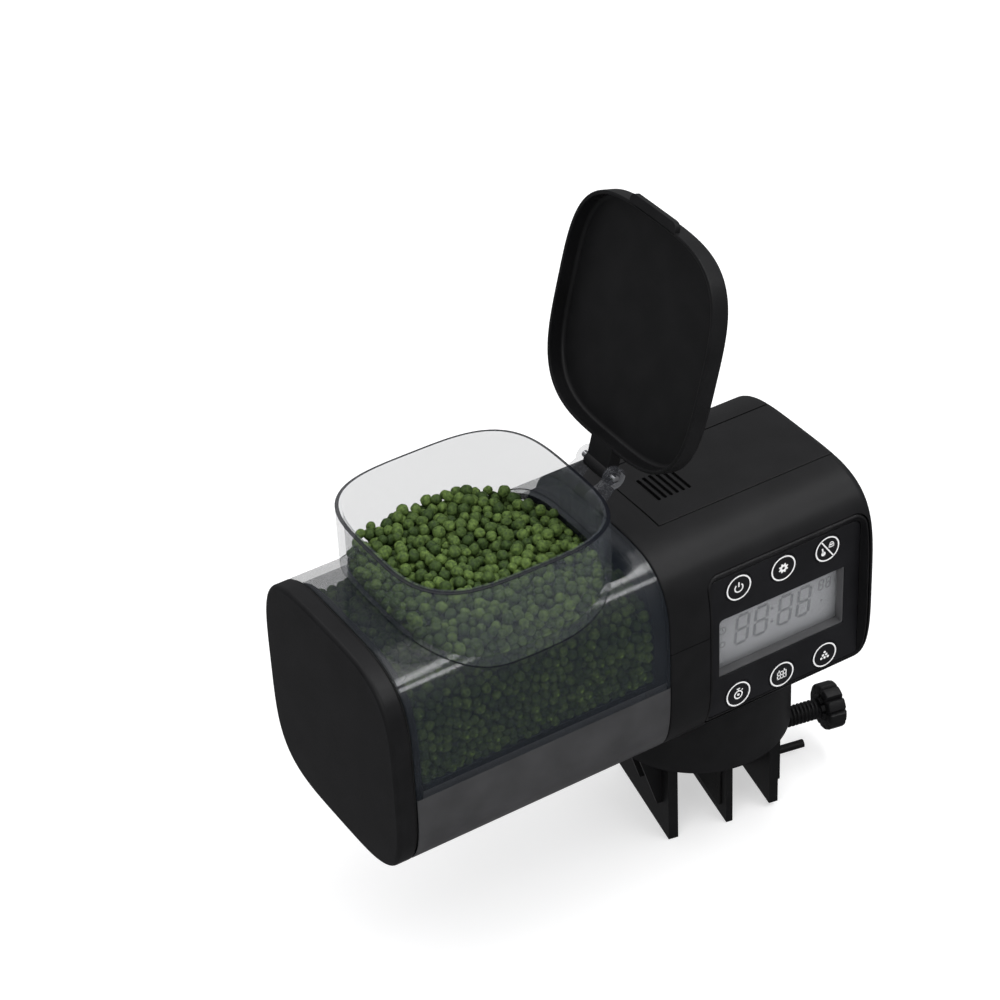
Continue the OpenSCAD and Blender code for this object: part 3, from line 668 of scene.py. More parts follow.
def make_battery_cover():
    cover = body_shell("battery_cover_panel")
    carve(cover, cover_region("keep", -0.1), operation="INTERSECT")
    carve(cover, *[groove(i) for i in range(GROOVES)])
    soften(cover, SHELL_EDGE)
    rails = []
    for side in (-1, 1):
        ys = sorted((side * (COVER_HALF - 3), side * COVER_HIGH.y))
        low = (COVER_LOW.x + 4, ys[0], COVER_LOW.z + 0.05)
        rails.append(box_between("rail", low, (BODY_HIGH.x - WALL, ys[1], COVER_LOW.z + 1.5)))
    rail = soften(join("battery_cover_rails", rails), 0.15)
    finish_piece(rail, "cover", "black_shell")
    finish_piece(cover, "cover", "black_shell", ["battery_cover"])


# ---- front panel ----

LCD_FRAME = (LCD_LOW.x + 1, LCD_HIGH.x - 1, LCD_LOW.z + 1, LCD_HIGH.z - 1)
LCD_ROUND = (0.5, 0.5, 0.5, 1.4)
FLOOR_Y = FILM_HIGH.y
FILM_GROOVE = 0.28
FILM_ROUND = (0.8, 0.8, 2.4, 2.4)


def lcd_outline(grow, side_steps=20):
    x0, x1, z0, z1 = LCD_FRAME
    radii = [max(0.05, r + grow) for r in LCD_ROUND]
    return rounded_rectangle(x0 - grow, x1 + grow, z0 - grow, z1 + grow, radii, 6, side_steps)


def film_outline(grow):
    return panel_rectangle(FILM_LOW, FILM_HIGH, FILM_ROUND, grow)


def front_surface(z):
    """Y of the body's bulged front at a height"""
    return -section_edge(z - AXIS_Z)


def flat_ring(outline, y):
    return [(u, y, v) for u, v in outline]


def curved_ring(outline, behind, floor=None):
    """The outline laid a little behind the body's front, but not behind a floor plane"""
    ys = [front_surface(v) + behind for u, v in outline]
    if floor is not None:
        ys = [max(y, floor) for y in ys]
    return [(u, y, v) for (u, v), y in zip(outline, ys)]


def make_bezel():
    """The frame round the film: its face follows the body's bulge, with a groove beside the film"""
    groove_edge = film_outline(FILM_GROOVE)
    rings = [
        flat_ring(lcd_outline(0.1), FLOOR_Y + 0.1),
        flat_ring(film_outline(-0.5), FLOOR_Y + 0.1),
        flat_ring(groove_edge, FLOOR_Y + 0.1),
        curved_ring(groove_edge, 0.12, FILM_LOW.y + 0.02),
        curved_ring(film_outline(0.5), 0.12, FILM_LOW.y - 0.02),
        curved_ring(panel_outline(-0.7), 0.1),
        curved_ring(panel_outline(-0.4), 0.16),
        curved_ring(panel_outline(-0.18), 0.34),
        curved_ring(panel_outline(-0.06), 0.65),
        flat_ring(panel_outline(-0.06), BEZEL_HIGH.y),
        flat_ring(lcd_outline(0.1), BEZEL_HIGH.y),
    ]
    bezel = skin("bezel", rings, caps=(False, False), join_ends=True)
    even_shading(bezel)
    finish_piece(bezel, "housing", "bezel_black", ["front_bezel"])


KEYS = ["key_power", "key_settings", "key_lock", "key_timer", "key_meals", "key_portion"]
KEY_GAP = 0.09
KEY_HOLE_R = 4.7


def key_centre(key):
    low, high = node_box(key)
    return (low.x + high.x) / 2, (low.z + high.z) / 2


def make_film():
    film = prism("film", film_outline(0), "y", FILM_LOW.y, FILM_HIGH.y)
    carve(film, prism("cutter", lcd_outline(0, 1), "y", FILM_LOW.y - 2, FILM_HIGH.y + 2))
    holes = []
    for key in KEYS:
        x, z = key_centre(key)
        holes.append(rod("hole", "y", KEY_HOLE_R, x, z, FILM_LOW.y - 2, FILM_HIGH.y + 2, 72))
    carve(film, *holes)
    soften(film, 0.1)
    finish_piece(film, "housing", "panel_black", ["panel_film"])


def annulus(name, outer, inner, u, v, low, high, count=72):
    rings = [
        [placed("y", *p, along) for p in circle(r, count, u, v)]
        for r, along in ((outer, high), (outer, low), (inner, low), (inner, high))
    ]
    return skin(name, rings, caps=(False, False), join_ends=True)


def bar(name, a, b, width, low, high):
    """A flat bar on the panel from point a to point b"""
    along = Vector((b[0] - a[0], b[1] - a[1])).normalized() * (width / 2)
    side = Vector((-along.y, along.x))
    outline = [
        (a[0] - side.x, a[1] - side.y),
        (b[0] - side.x, b[1] - side.y),
        (b[0] + side.x, b[1] + side.y),
        (a[0] + side.x, a[1] + side.y),
    ]
    return prism(name, outline, "y", low, high)


def bars(x, z, lines, low, high):
    """Flat bars round a point, each from one offset to another with a width"""
    return [
        bar("mark", (x + u0, z + v0), (x + u1, z + v1), width, low, high)
        for (u0, v0), (u1, v1), width in lines
    ]


def arc_band(name, radius, width, u, v, start, stop, low, high, steps=28):
    """A curved stroke on the panel, between two angles in degrees"""
    turns = [math.radians(start + (stop - start) * i / steps) for i in range(steps + 1)]
    outer, inner = (
        [(u + r * math.cos(t), v + r * math.sin(t)) for t in turns]
        for r in (radius + width / 2, radius - width / 2)
    )
    return prism(name, outer + inner[::-1], "y", low, high)


def power_icon(x, z, y0, y1):
    return [
        arc_band("mark", 1.35, 0.42, x, z - 0.1, -230, 50, y0, y1),
        bar("mark", (x, z + 0.25), (x, z + 1.85), 0.45, y0, y1),
    ]


def gear_icon(x, z, y0, y1):
    teeth = 8
    outline = []
    for i in range(teeth * 4):
        r = 1.65 if i % 4 in (1, 2) else 1.2
        t = 2 * math.pi * (i + 0.5) / (teeth * 4)
        outline.append((x + r * math.cos(t), z + r * math.sin(t)))
    rings = [flat_ring(outline, y1), flat_ring(outline, y0)]
    hole = circle(0.5, teeth * 4, x, z, math.pi / (teeth * 4))
    rings += [flat_ring(hole, y0), flat_ring(hole, y1)]
    return [skin("mark", rings, caps=(False, False), join_ends=True)]


def lock_icon(x, z, y0, y1):
    """A pressing hand and a padlock on the two sides of a slash"""
    slash = ((-2.2, 3.2), (2.2, -3.2), 0.4)
    finger = ((-1.5, -0.9), (-1.75, 0.75), 0.5)
    case_top = ((0.45, 1.05), (2.35, 1.05), 0.4)
    case_left = ((0.6, 0.3), (0.6, 1.1), 0.3)
    case_right = ((2.2, 0.3), (2.2, 1.1), 0.3)
    case_foot = ((0.45, 0.3), (2.35, 0.3), 0.3)
    fist = rod("mark", "y", 0.75, x - 1.35, z - 1.2, y0, y1, 24)
    shackle = arc_band("mark", 0.6, 0.28, x + 1.4, z + 1.3, 0, 180, y0, y1, 12)
    marks = bars(x, z, (slash, finger, case_top, case_left, case_right, case_foot), y0, y1)
    return marks + [fist, shackle]


def timer_icon(x, z, y0, y1):
    """A stopwatch"""
    button = ((-0.55, 1.85), (0.55, 1.85), 0.4)
    stem = ((0, 1.2), (0, 1.8), 0.35)
    side_button = ((1.15, 1.0), (1.55, 1.4), 0.35)
    case = annulus("mark", 1.5, 1.1, x, z - 0.25, y0, y1, 40)
    middle = rod("mark", "y", 0.42, x, z - 0.25, y0, y1, 20)
    return [case, middle] + bars(x, z, (button, stem, side_button), y0, y1)


def meals_icon(x, z, y0, y1):
    """A calendar leaf with two rings and a grid"""
    lines = [((-1.6, h), (1.6, h), 0.32) for h in (-1.35, -0.1, 1.05)]
    lines += [((w, -1.5), (w, 1.2), 0.32) for w in (-1.5, -0.5, 0.5, 1.5)]
    lines += [((w, 1.0), (w, 1.75), 0.4) for w in (-0.9, 0.9)]
    return bars(x, z, lines, y0, y1)


def portion_icon(x, z, y0, y1):
    """Six pellets in a pyramid"""
    marks = []
    for row in range(3):
        for i in range(row + 1):
            marks.append(rod("mark", "y", 0.42, x + 1.15 * (i - row / 2), z + 1 - row, y0, y1, 20))
    return marks


ICONS = dict(zip(KEYS, [power_icon, gear_icon, lock_icon, timer_icon, meals_icon, portion_icon]))
PRINT = 0.03


def make_key(key):
    low, high = node_box(key)
    x, z = key_centre(key)
    r = KEY_HOLE_R - KEY_GAP
    front = low.y
    profile = [
        (1.5, high.y),
        (1.5, FLOOR_Y + 0.7),
        (5.0, FLOOR_Y + 0.7),
        (5.0, FLOOR_Y + 0.1),
        (r, FLOOR_Y + 0.1),
        (r, front + 0.12),
        (r - 0.04, front + 0.05),
        (r - 0.12, front + 0.015),
        (r - 0.3, front),
    ]
    cap = lathe(key + "_cap", profile, "y", x, z, 72)
    even_shading(cap)
    finish_piece(cap, key, "panel_black", [key])
    y0, y1 = front - PRINT, front + PRINT
    marks = [annulus("mark", 4.15, 3.7, x, z, y0, y1)] + ICONS[key](x, z, y0, y1)
    finish_piece(join(key + "_print", marks), key, "print_white", mat=PRINT_WHITE)


SEGMENTS = {
    "a": ((0.08, 1.0), (0.92, 1.0)),
    "b": ((1.0, 0.96), (1.0, 0.54)),
    "c": ((1.0, 0.46), (1.0, 0.04)),
    "d": ((0.08, 0.0), (0.92, 0.0)),
    "e": ((0.0, 0.46), (0.0, 0.04)),
    "f": ((0.0, 0.96), (0.0, 0.54)),
    "g": ((0.1, 0.5), (0.9, 0.5)),
}
DIGIT_SLANT = 0.1


def digit(x, z, width, height, stroke, y0, y1):
    """A seven-segment figure eight, leaning a little"""
    marks = []
    for (u0, v0), (u1, v1) in SEGMENTS.values():
        a = (x + u0 * width + v0 * height * DIGIT_SLANT, z + v0 * height)
        b = (x + u1 * width + v1 * height * DIGIT_SLANT, z + v1 * height)
        marks.append(bar("segment", a, b, stroke, y0, y1))
    return marks


CLOCK = (-9.6, 52.6)


def segments(face_y):
    """Four large digits with a colon, two small digits, a clock face, a ring and a dot"""
    y0, y1 = face_y - 0.03, face_y + 0.02
    marks = []
    for x in (-5.3, 1.3, 9.7, 16.3):
        marks += digit(x, 45.6, 4.1, 9.6, 1.0, y0, y1)
    marks += [bar("segment", (7.6, z - 0.4), (7.7, z + 0.4), 0.9, y0, y1) for z in (48.2, 52.8)]
    for x in (24.0, 26.6):
        marks += digit(x, 51.8, 1.5, 3.4, 0.5, y0, y1)
    marks.append(annulus("segment", 1.35, 1.0, *CLOCK, y0, y1, 32))
    marks += bars(*CLOCK, (((0, 0), (0, 0.8), 0.3), ((0, 0), (0.5, 0), 0.3)), y0, y1)
    marks.append(annulus("segment", 1.1, 0.75, -9.6, 47.6, y0, y1, 32))
    marks.append(rod("segment", "y", 0.45, 25.2, 47.8, y0, y1, 20))
    return marks


def make_display():
    face_y = LCD_HIGH.y + 0.1
    glass = prism("display_glass", lcd_outline(0.9), "y", face_y, face_y + 1.9)
    soften(glass, 0.15)
    finish_piece(glass, "housing", "lcd_grey", ["lcd_module"])
    pane = prism("display_window", lcd_outline(0.9), "y", LCD_LOW.y, LCD_HIGH.y)
    soften(pane, 0.1)
    finish_piece(pane, "housing", "clear_window", ["lcd_window"])
    wall = [
        flat_ring(lcd_outline(-0.02), FILM_LOW.y + 0.35),
        flat_ring(lcd_outline(-0.02), LCD_LOW.y - 0.02),
        flat_ring(lcd_outline(-0.3), LCD_LOW.y - 0.02),
        flat_ring(lcd_outline(-0.3), FILM_LOW.y + 0.35),
    ]
    recess = skin("display_recess", wall, caps=(False, False), join_ends=True)
    finish_piece(even_shading(recess), "housing", "lcd_grey", mat=LCD_WALL)
    finish_piece(join("display_segments", segments(face_y)), "housing", "lcd_ink", mat=LCD_INK)


# ---- food barrel ----


def make_barrel():
    x0, x1 = BARREL_LOW.x, BARREL_HIGH.x
    edge = 0.25
    rings = [section_ring(x0, edge), section_ring(x0 + edge, 0)]
    rings += [section_ring(x0 + (x1 - x0) * f, 0) for f in (0.25, 0.5, 0.75)]
    rings += [section_ring(x1 - edge, 0), section_ring(x1, edge)]
    rings += [section_ring(x1, WALL), section_ring(x0, WALL)]
    barrel = skin("barrel", rings, caps=(False, False), join_ends=True)
    outline = rounded_square(HOPPER_INNER, HOPPER_POWER, HOPPER_ANGLES)
    outline = [(HOPPER_X + u, v) for u, v in outline]
    opening = prism("opening", outline, "z", AXIS_Z, BARREL_HIGH.z + 20)
    carve(barrel, opening, outlet_cutter(BARREL_LOW.z - 5, BARREL_LOW.z + 10))
    even_shading(barrel)
    finish_piece(barrel, "housing", "barrel_smoke", ["barrel_shell"])
    vary_faces(barrel, (PAINTED_EDGE_SHADE, BARREL_FROST, CUT_CLEAR), barrel_material)


def outlet_cutter(low, high):
    """The food outlet's hole between two heights"""
    return box_between("outlet", (OUTLET_X[0], -OUTLET_HALF, low), (OUTLET_X[1], OUTLET_HALF, high))


def barrel_material(centre, normal):
    """Painted shade on the opening's cut faces at the back, clearer cut faces in front, and a frosted outside
    below the liner's painted shade band
    """
    x, y, z = centre
    if section_norm(y, z) > HALF - WALL / 2 and z < LINER_HIGH.z - LINER_SHADE_BAND:
        return 2
    on_cut = abs(hopper_norm(x, y) - HOPPER_INNER) < 0.1
    if on_cut and z > AXIS_Z + HALF / 2 and abs(normal.z) < 0.3:
        # painted shade on the cut faces at the back, nearly clear cut faces in front
        return 1 if y > -15 else 3
    return 0


TROUGH_R = 11.1
LINER_LEDGE = 1.2
LINER_SIDE = HALF - WALL - 0.06


def make_liner():
    """The opaque tray in the lower half of the barrel, with a black band along its top edges: painted shadow in
    the gap at the liner's edge
    """
    edge_z = LINER_HIGH.z
    shade_band_z = edge_z - LINER_SHADE_BAND
    side = LINER_SIDE
    outer = [(y, AXIS_Z + z) for y, z in rounded_square(side, SECTION_POWER, BODY_ANGLES)]
    outer = [(y, z) for y, z in outer if z < shade_band_z - 0.1]
    turns = np.linspace(0, -math.pi, 33)
    trough = [(TROUGH_R * math.cos(t), FEED.z + TROUGH_R * math.sin(t)) for t in turns]
    ledge = side - LINER_LEDGE
    outline = [(-side, edge_z), (-side, shade_band_z)] + outer + [(side, shade_band_z), (side, edge_z)]
    outline += [(ledge, edge_z), (ledge, edge_z - 1)]
    outline += trough + [(-ledge, edge_z - 1), (-ledge, edge_z)]
    liner = prism("liner", outline, "x", LINER_LOW.x, LINER_HIGH.x)
    carve(liner, outlet_cutter(10, FEED.z))
    finish_piece(liner, "housing", "liner_black", ["barrel_liner"])
    # the faces above the band's foot are black: painted shadow
    vary_faces(liner, [MATERIALS["bezel_black"]], lambda centre, normal: int(centre.z > shade_band_z))
    soften(liner, 0.15)


CAP_ROUND = 1.3
CAP_DOME = 0.35
PLUG_END = BARREL_LOW.x + 3


def make_end_cap():
    """A slightly domed cap: its rings are (place along X, inset from the body's section)"""
    x0 = CAP_LOW.x
    x1 = PLUG_END
    face_x = x0 + CAP_DOME
    rim_x = BARREL_LOW.x - 0.8
    plug = WALL + 0.3
    to_middle = HALF - CAP_ROUND - 0.4
    rings = [(x0 + CAP_DOME * f**3, HALF - to_middle * f) for f in (0.02, 0.2, 0.4, 0.6, 0.75, 0.86, 0.93)]
    rings += [(face_x + 0.02, CAP_ROUND + 0.25)]
    rings += [(face_x + CAP_ROUND - u, CAP_ROUND - v) for u, v in arc(CAP_ROUND, CAP_ROUND, 6)][::-1]
    rings += [(rim_x - 0.25, 0), (rim_x, 0.25), (rim_x, plug), (x1 - 0.2, plug), (x1, plug + 0.2)]
    rings += [(x1, plug + 1.4), (x0 + WALL + 0.6, plug + 1.5), (x0 + WALL + 0.5, HALF * 0.9)]
    cap = skin("end_cap_body", [section_ring(x, inset) for x, inset in rings])
    even_shading(cap)
    shoulder = FEED_LOW.x - 0.6
    profile = [(4, x0 + WALL), (4, shoulder), (1.5, shoulder), (1.5, FEED_LOW.x + 4)]
    axle = lathe("end_cap_axle", profile, "x", FEED.y, FEED.z, 40)
    finish_piece(soften(axle, 0.15), "cap", "black_shell")
    finish_piece(cap, "cap", "black_shell", ["end_cap"])


# ---- hopper ----


RIM_SHADE_LINE = 0.8
FOOT_SHADE_LINE = 0.45
SADDLE_GAP = 0.04


def hopper_ring(inset, height):
    """A ring of the hopper; height is from 0 at the saddle on the barrel to 1 at the rim"""
    ring = []
    for x, y, rim in level_ring(inset, HOPPER_HIGH.z):
        foot = AXIS_Z + section_edge(y) + SADDLE_GAP
        ring.append((x, y, foot + (rim - foot) * height))
    return ring


def level_ring(inset, z):
    outline = rounded_square(HOPPER_HALF - inset, HOPPER_POWER, HOPPER_ANGLES)
    return [(HOPPER_X + u, v, z) for u, v in outline]


def make_hopper():
    rim = HOPPER_HIGH.z
    top = rim - LIP
    steps = (0.0, 0.02, 0.25, 0.5, 0.75)
    rings = [hopper_ring(0, f) for f in steps] + [level_ring(0, top)]
    rings += [level_ring(inset, rim - drop) for inset, drop in ((0, 0.35), (0.12, 0.1), (0.4, 0), (1, 0))]
    rings += [level_ring(HOPPER_WALL - u, rim - drop) for u, drop in ((0.4, 0), (0.12, 0.1), (0, 0.35))]
    rings += [level_ring(HOPPER_WALL, top)] + [hopper_ring(HOPPER_WALL, f) for f in steps[::-1]]
    hopper = skin("hopper_walls", rings, caps=(False, False), join_ends=True)
    even_shading(hopper)
    finish_piece(hopper, "housing", "hopper_clear", ["hopper"])
    vary_faces(hopper, (PAINTED_EDGE_SHADE, CUT_CLEAR), hopper_material)


def hopper_material(centre, normal):
    """Painted shade lines along the rim, where the clear wall is seen edge-on, and along the foot, where the
    hopper meets the barrel, and a clear foot in front
    """
    x, y, z = centre
    depth = HOPPER_HALF - hopper_norm(x, y)
    # the rim line and the foot line are painted shade
    in_rim_shade = z > HOPPER_HIGH.z - 0.6 and depth < RIM_SHADE_LINE
    at_foot = z < AXIS_Z + section_edge(y) + FOOT_SHADE_LINE
    if in_rim_shade or (at_foot and depth < 0.1):
        return 1
    return 2 if at_foot and y < 0 else 0


def make_ears():
    ears = []
    for side in (-1, 1):
        y0, y1 = sorted(side * y for y in EAR_SPAN)
        ears.append(hinge_ear(y0, y1))
    ears = finish_piece(soften(join("hinge_ears", ears), 0.2), "housing", "clear_edge", mat=EAR_CLEAR)
    vary_faces(ears, [PAINTED_GLINT], ear_material)


def ear_material(centre, normal):
    """A painted glint under the pin: a paler clear material on the lower faces round it"""
    near_pin = (centre - HINGE).xz.length < EAR_R + 0.3
    return int(near_pin and abs(normal.y) < 0.5 and normal.z < 0)


EAR_R = 3.3
EAR_RIB = 2.4
EAR_SPAN = (5.3, 7.5)


def hinge_ear(y0, y1):
    """A clear ear that rises from a rib on the wall and ends round the hinge pin"""
    wall_x = HOPPER_X + HOPPER_HALF - 0.05
    foot = AXIS_Z + HALF + 0.05
    outline = [(wall_x, foot), (wall_x + EAR_RIB, foot), (wall_x + EAR_RIB, HINGE.z - 10)]
    for i in range(25):
        t = math.radians(-95 + 275 * i / 24)
        outline.append((HINGE.x + EAR_R * math.cos(t), HINGE.z + EAR_R * math.sin(t)))
    outline.append((wall_x, HINGE.z - 2.6))
    return prism("ear", outline, "y", y0, y1)


# ---- lid ----

LID_CLEAR = 0.5
LID_WALL = 1.1
LID_PLATE = 1.1
LID_BELOW_RIM = 4.6
LID_ABOVE_RIM = 1.2
TAB_HALF = 10.5
TAB_THICK = 1.6
KNUCKLE_R = 2.4
KNUCKLE_HALF = 5


def make_lid():
    """Modelled closed, then turned open about the hinge"""
    rim_z = HOPPER_HIGH.z - LID_BELOW_RIM
    top_z = HOPPER_HIGH.z + LID_ABOVE_RIM
    outer = -(LID_CLEAR + LID_WALL)
    inner = -LID_CLEAR
    ceiling = top_z - LID_PLATE
    rings = [level_ring(HOPPER_HALF * 0.97, ceiling), level_ring(HOPPER_HALF * 0.4, ceiling)]
    rings += [level_ring(inner + 1.2 - v, ceiling - 1.0 + u) for u, v in arc(1.0, 1.2, 5)][::-1]
    rings += [level_ring(inner - u, rim_z + v) for u, v in ((0, 0.4), (0.12, 0.1), (0.4, 0))]
    rings += [level_ring(outer + u, rim_z + v) for u, v in ((0.3, 0), (0.06, 0.12), (0, 0.4))]
    rings += [level_ring(outer + 1.3 - v, top_z - 1.3 + u) for u, v in arc(1.3, 1.3, 6)]
    rings += [level_ring(HOPPER_HALF * 0.4, top_z), level_ring(HOPPER_HALF * 0.97, top_z)]
    lid = skin("lid_body", rings)
    tab_x = HOPPER_X - HOPPER_HALF
    tab = rounded_rectangle(tab_x - 4, tab_x - 0.8, -TAB_HALF, TAB_HALF, (2, 0.2, 0.2, 2), 6, 1)
    tab = prism("tab", tab, "z", rim_z, rim_z + TAB_THICK)
    arm_low = (HOPPER_X + HOPPER_HALF + 0.7, -KNUCKLE_HALF, HINGE.z - 1.4)
    arm = box_between("arm", arm_low, (HINGE.x, KNUCKLE_HALF, HINGE.z + 2.2))
    knuckle = rod("knuckle", "y", KNUCKLE_R, HINGE.x, HINGE.z, -KNUCKLE_HALF, KNUCKLE_HALF, 40)
    carve(knuckle, arm, operation="UNION")
    small = join("lid_trim", [tab, knuckle])
    turn = (
        Matrix.Translation(HINGE * MM)
        @ Matrix.Rotation(OPEN_ANGLE, 4, "Y")
        @ Matrix.Translation(-HINGE * MM)
    )
    for piece in (lid, small):
        piece.data.transform(turn)
    soften(small, 0.35)
    finish_piece(small, "lid", "black_shell")
    even_shading(lid)
    finish_piece(lid, "lid", "black_shell", ["lid"])


# ---- thumb screw ----

THREAD_R = 3.2
THREAD_DEPTH = 0.42
THREAD_PITCH = 1.25
THREAD_SIDES = 36
THREAD_ROWS = 8
KNOB_LOBES = 10
KNOB_R = 7.3
KNOB_LONG = 6
NOTCH_DEPTH = 1.05


def in_clamp(name):
    """The X' span of a node in the clamp's own frame"""
    back = Matrix.Rotation(-CLAMP_TURN, 3, "Z")
    xs = [(back @ v.co).x / MM for v in CAD[name].data.vertices]
    return min(xs), max(xs)


def make_thumb_screw():
    start, end = in_clamp("thumb_screw")
    knob_x0 = end - KNOB_LONG
    thread_x0 = start + 3.0
    rows = int((knob_x0 - thread_x0) / (THREAD_PITCH / THREAD_ROWS))
    rings = []
    for row in range(rows + 1):
        x = thread_x0 + (knob_x0 - thread_x0) * row / rows
        fade = min(1, (x - thread_x0) / 1.0)
        ring = []
        for i in range(THREAD_SIDES):
            turn = i / THREAD_SIDES
            phase = (x / THREAD_PITCH + turn) % 1
            depth = THREAD_DEPTH * (1 - min(1, 3 * abs(phase - 0.5))) * fade
            r = THREAD_R - depth
            t = 2 * math.pi * turn
            ring.append((x, r * math.cos(t), SCREW_AXIS_Z + r * math.sin(t)))
        rings.append(ring)
    shank = skin("thread", rings)
    tip = lathe("tip", [(2.5, start), (2.5, thread_x0 + 0.2)], "x", 0, SCREW_AXIS_Z, 36)
    knob = make_knob(knob_x0, end)
    turn = Matrix.Rotation(CLAMP_TURN, 4, "Z")
    for piece in (shank, tip, knob):
        piece.data.transform(turn)
    even_shading(knob)
    finish_piece(knob, "clamp_screw", "black_clamp")
    shank = join("thumb_screw_shank", [shank, tip])
    even_shading(shank)
    finish_piece(shank, "clamp_screw", "black_clamp", ["thumb_screw"])


def knob_outline(shrink):
    """Ten broad lobes with narrow notches between them"""
    points = []
    steps = 16
    for i in range(KNOB_LOBES * steps):
        turn = 2 * math.pi * i / (KNOB_LOBES * steps)
        off = abs((i % steps) / steps - 0.5) * 2
        notch = max(0, 1 - off / 0.36)
        r = KNOB_R - shrink - NOTCH_DEPTH * (notch * notch * (3 - 2 * notch))
        points.append((r * math.cos(turn), SCREW_AXIS_Z + r * math.sin(turn)))
    return points


def make_knob(x0, x1):
    """The fluted knob with a recess in its end, through (place along X, inset) steps"""
    steps = [(x0 - 1.0, 3.0), (x0, 2.6), (x0 + 0.1, 0.7), (x0 + 0.5, 0.15), (x0 + 0.9, 0)]
    steps += [(x1 - 0.9, 0), (x1 - 0.4, 0.15), (x1, 0.8), (x1, 2.4), (x1 - 0.25, 2.8), (x1 - 0.8, 3.0)]
    return skin("thumb_knob", [[(x, y, z) for y, z in knob_outline(shrink)] for x, shrink in steps])


# ---- food pellets ----

PELLET_R = (1.28, 1.75)
PELLET_SEED = 5
PELLET_SHAPES = 6
SCATTERED = 60000
PACKED_SHARE = 0.73
PACK_STEPS = 170
DEEP = 5
FILL_RIGHT = BULKHEAD_LOW.x + 3.2
FILL_LEFT = PLUG_END + 0.1
FOOD_LEVEL = 93
HOPPER_FROM = AXIS_Z + 12
FEED_SWEEP = 10.7


def keep_inside(p, r):
    """Moves pellet centres back into the barrel, the hopper and the liner"""
    x, y, z = p[:, 0], p[:, 1], p[:, 2]
    inner = HALF - WALL
    reach = section_norm(y, z)
    barrel_over = reach - (inner - r)
    spread = hopper_norm(x, y)
    hopper_over = spread - (HOPPER_INNER - r)
    upper = z > HOPPER_FROM
    use_hopper = upper & (hopper_over < barrel_over)
    fix = (barrel_over > 0) & ~use_hopper
    scale = np.where(fix, (inner - r) / np.maximum(reach, 1e-6), 1)
    y = y * scale
    z = AXIS_Z + (z - AXIS_Z) * scale
    fix = use_hopper & (hopper_over > 0)
    scale = np.where(fix, (HOPPER_INNER - r) / np.maximum(spread, 1e-6), 1)
    x = HOPPER_X + (x - HOPPER_X) * scale
    y = y * scale
    # the liner's sloping sides
    top = (LINER_SIDE - LINER_LEDGE, LINER_HIGH.z - 1)
    run = Vector((top[0] - TROUGH_R, top[1] - FEED.z))
    out = Vector((-run.y, run.x)).normalized()
    gap = (np.abs(y) - TROUGH_R) * out.x + (z - FEED.z) * out.y - r
    push = np.where((gap < 0) & (z < LINER_HIGH.z + 6), -gap, 0)
    y = y + np.sign(y) * out.x * push
    z = z + out.y * push
    # the space swept by the feed screw
    dy, dz = y - FEED.y, z - FEED.z
    away = np.hypot(dy, dz)
    need = FEED_SWEEP + r
    scale = np.where(away < need, need / np.maximum(away, 1e-6), 1)
    y = FEED.y + dy * scale
    z = FEED.z + dz * scale
    x = np.clip(x, FILL_LEFT + r, FILL_RIGHT - r)
    return np.stack([x, y, z], axis=1)


def fill_level(x, y):
    """How high the food stands: a mound under the hopper that slopes away to the left end"""
    beyond = np.maximum(HOPPER_X - HOPPER_HALF - x, 0)
    return FOOD_LEVEL - 0.8 * beyond + 1.2 * (y / HOPPER_HALF) - 1.0 * (x - HOPPER_X) / HOPPER_HALF


def neighbours(points, reach):
    """Index pairs of the points that are closer than reach, found in order of X"""
    order = np.argsort(points[:, 0])
    x = points[order, 0]
    counts = np.searchsorted(x, x + reach) - np.arange(len(x)) - 1
    first = np.repeat(np.arange(len(x)), counts)
    steps = np.arange(len(first)) - np.repeat(np.cumsum(counts) - counts, counts)
    second = first + steps + 1
    first, second = order[first], order[second]
    close = ((points[first] - points[second]) ** 2).sum(axis=1) < reach**2
    return first[close], second[close]


def pack_pellets():
    """Scatters pellets in the food space and pushes them apart until they rest on each other"""
    rng = np.random.default_rng(PELLET_SEED)
    low = np.array([FILL_LEFT, -HALF, FEED.z + 6])
    high = np.array([FILL_RIGHT, HALF, FOOD_LEVEL + 4])
    points = rng.uniform(low, high, (SCATTERED, 3))
    radii = rng.uniform(*PELLET_R, len(points))
    moved = keep_inside(points.copy(), radii)
    inside = np.linalg.norm(moved - points, axis=1) < 0.6
    inside &= points[:, 2] < fill_level(points[:, 0], points[:, 1])
    volume = np.prod(high - low) * inside.mean()
    points, radii = points[inside], radii[inside]
    count = int(PACKED_SHARE * volume / (4 / 3 * math.pi * np.mean(radii) ** 3))
    points, radii = points[:count], radii[:count]
    for step in range(PACK_STEPS):
        if step % 5 == 0:
            first, second = neighbours(points, 2 * PELLET_R[1] + 0.8)
        points[:, 2] -= 0.045 if step < 0.75 * PACK_STEPS else 0.01
        away = points[first] - points[second]
        length = np.maximum(np.linalg.norm(away, axis=1), 1e-6)
        over = np.maximum(radii[first] + radii[second] - length, 0)
        push = away / length[:, None] * (over * 0.42)[:, None]
        for axis in range(3):
            points[:, axis] += np.bincount(first, push[:, axis], len(points))
            points[:, axis] -= np.bincount(second, push[:, axis], len(points))
        points = keep_inside(points, radii)
    return points, radii, rng


def near_surface(points):
    """Leaves out the pellets deep in the heap, which can't be seen from any side"""
    x, y, z = points.T
    side = section_norm(y, z) > HALF - WALL - DEEP
    hopper = hopper_norm(x, y) > HOPPER_INNER - DEEP
    ends = (x < FILL_LEFT + DEEP) | (x > FILL_RIGHT - DEEP)
    columns = np.floor(x / 4).astype(int) * 1000 + np.floor(y / 4).astype(int)
    names, place = np.unique(columns, return_inverse=True)
    highest = np.full(len(names), -1e9)
    np.maximum.at(highest, place, z)
    top = z > highest[place] - DEEP
    return side | ends | top | (hopper & (z > HOPPER_FROM))


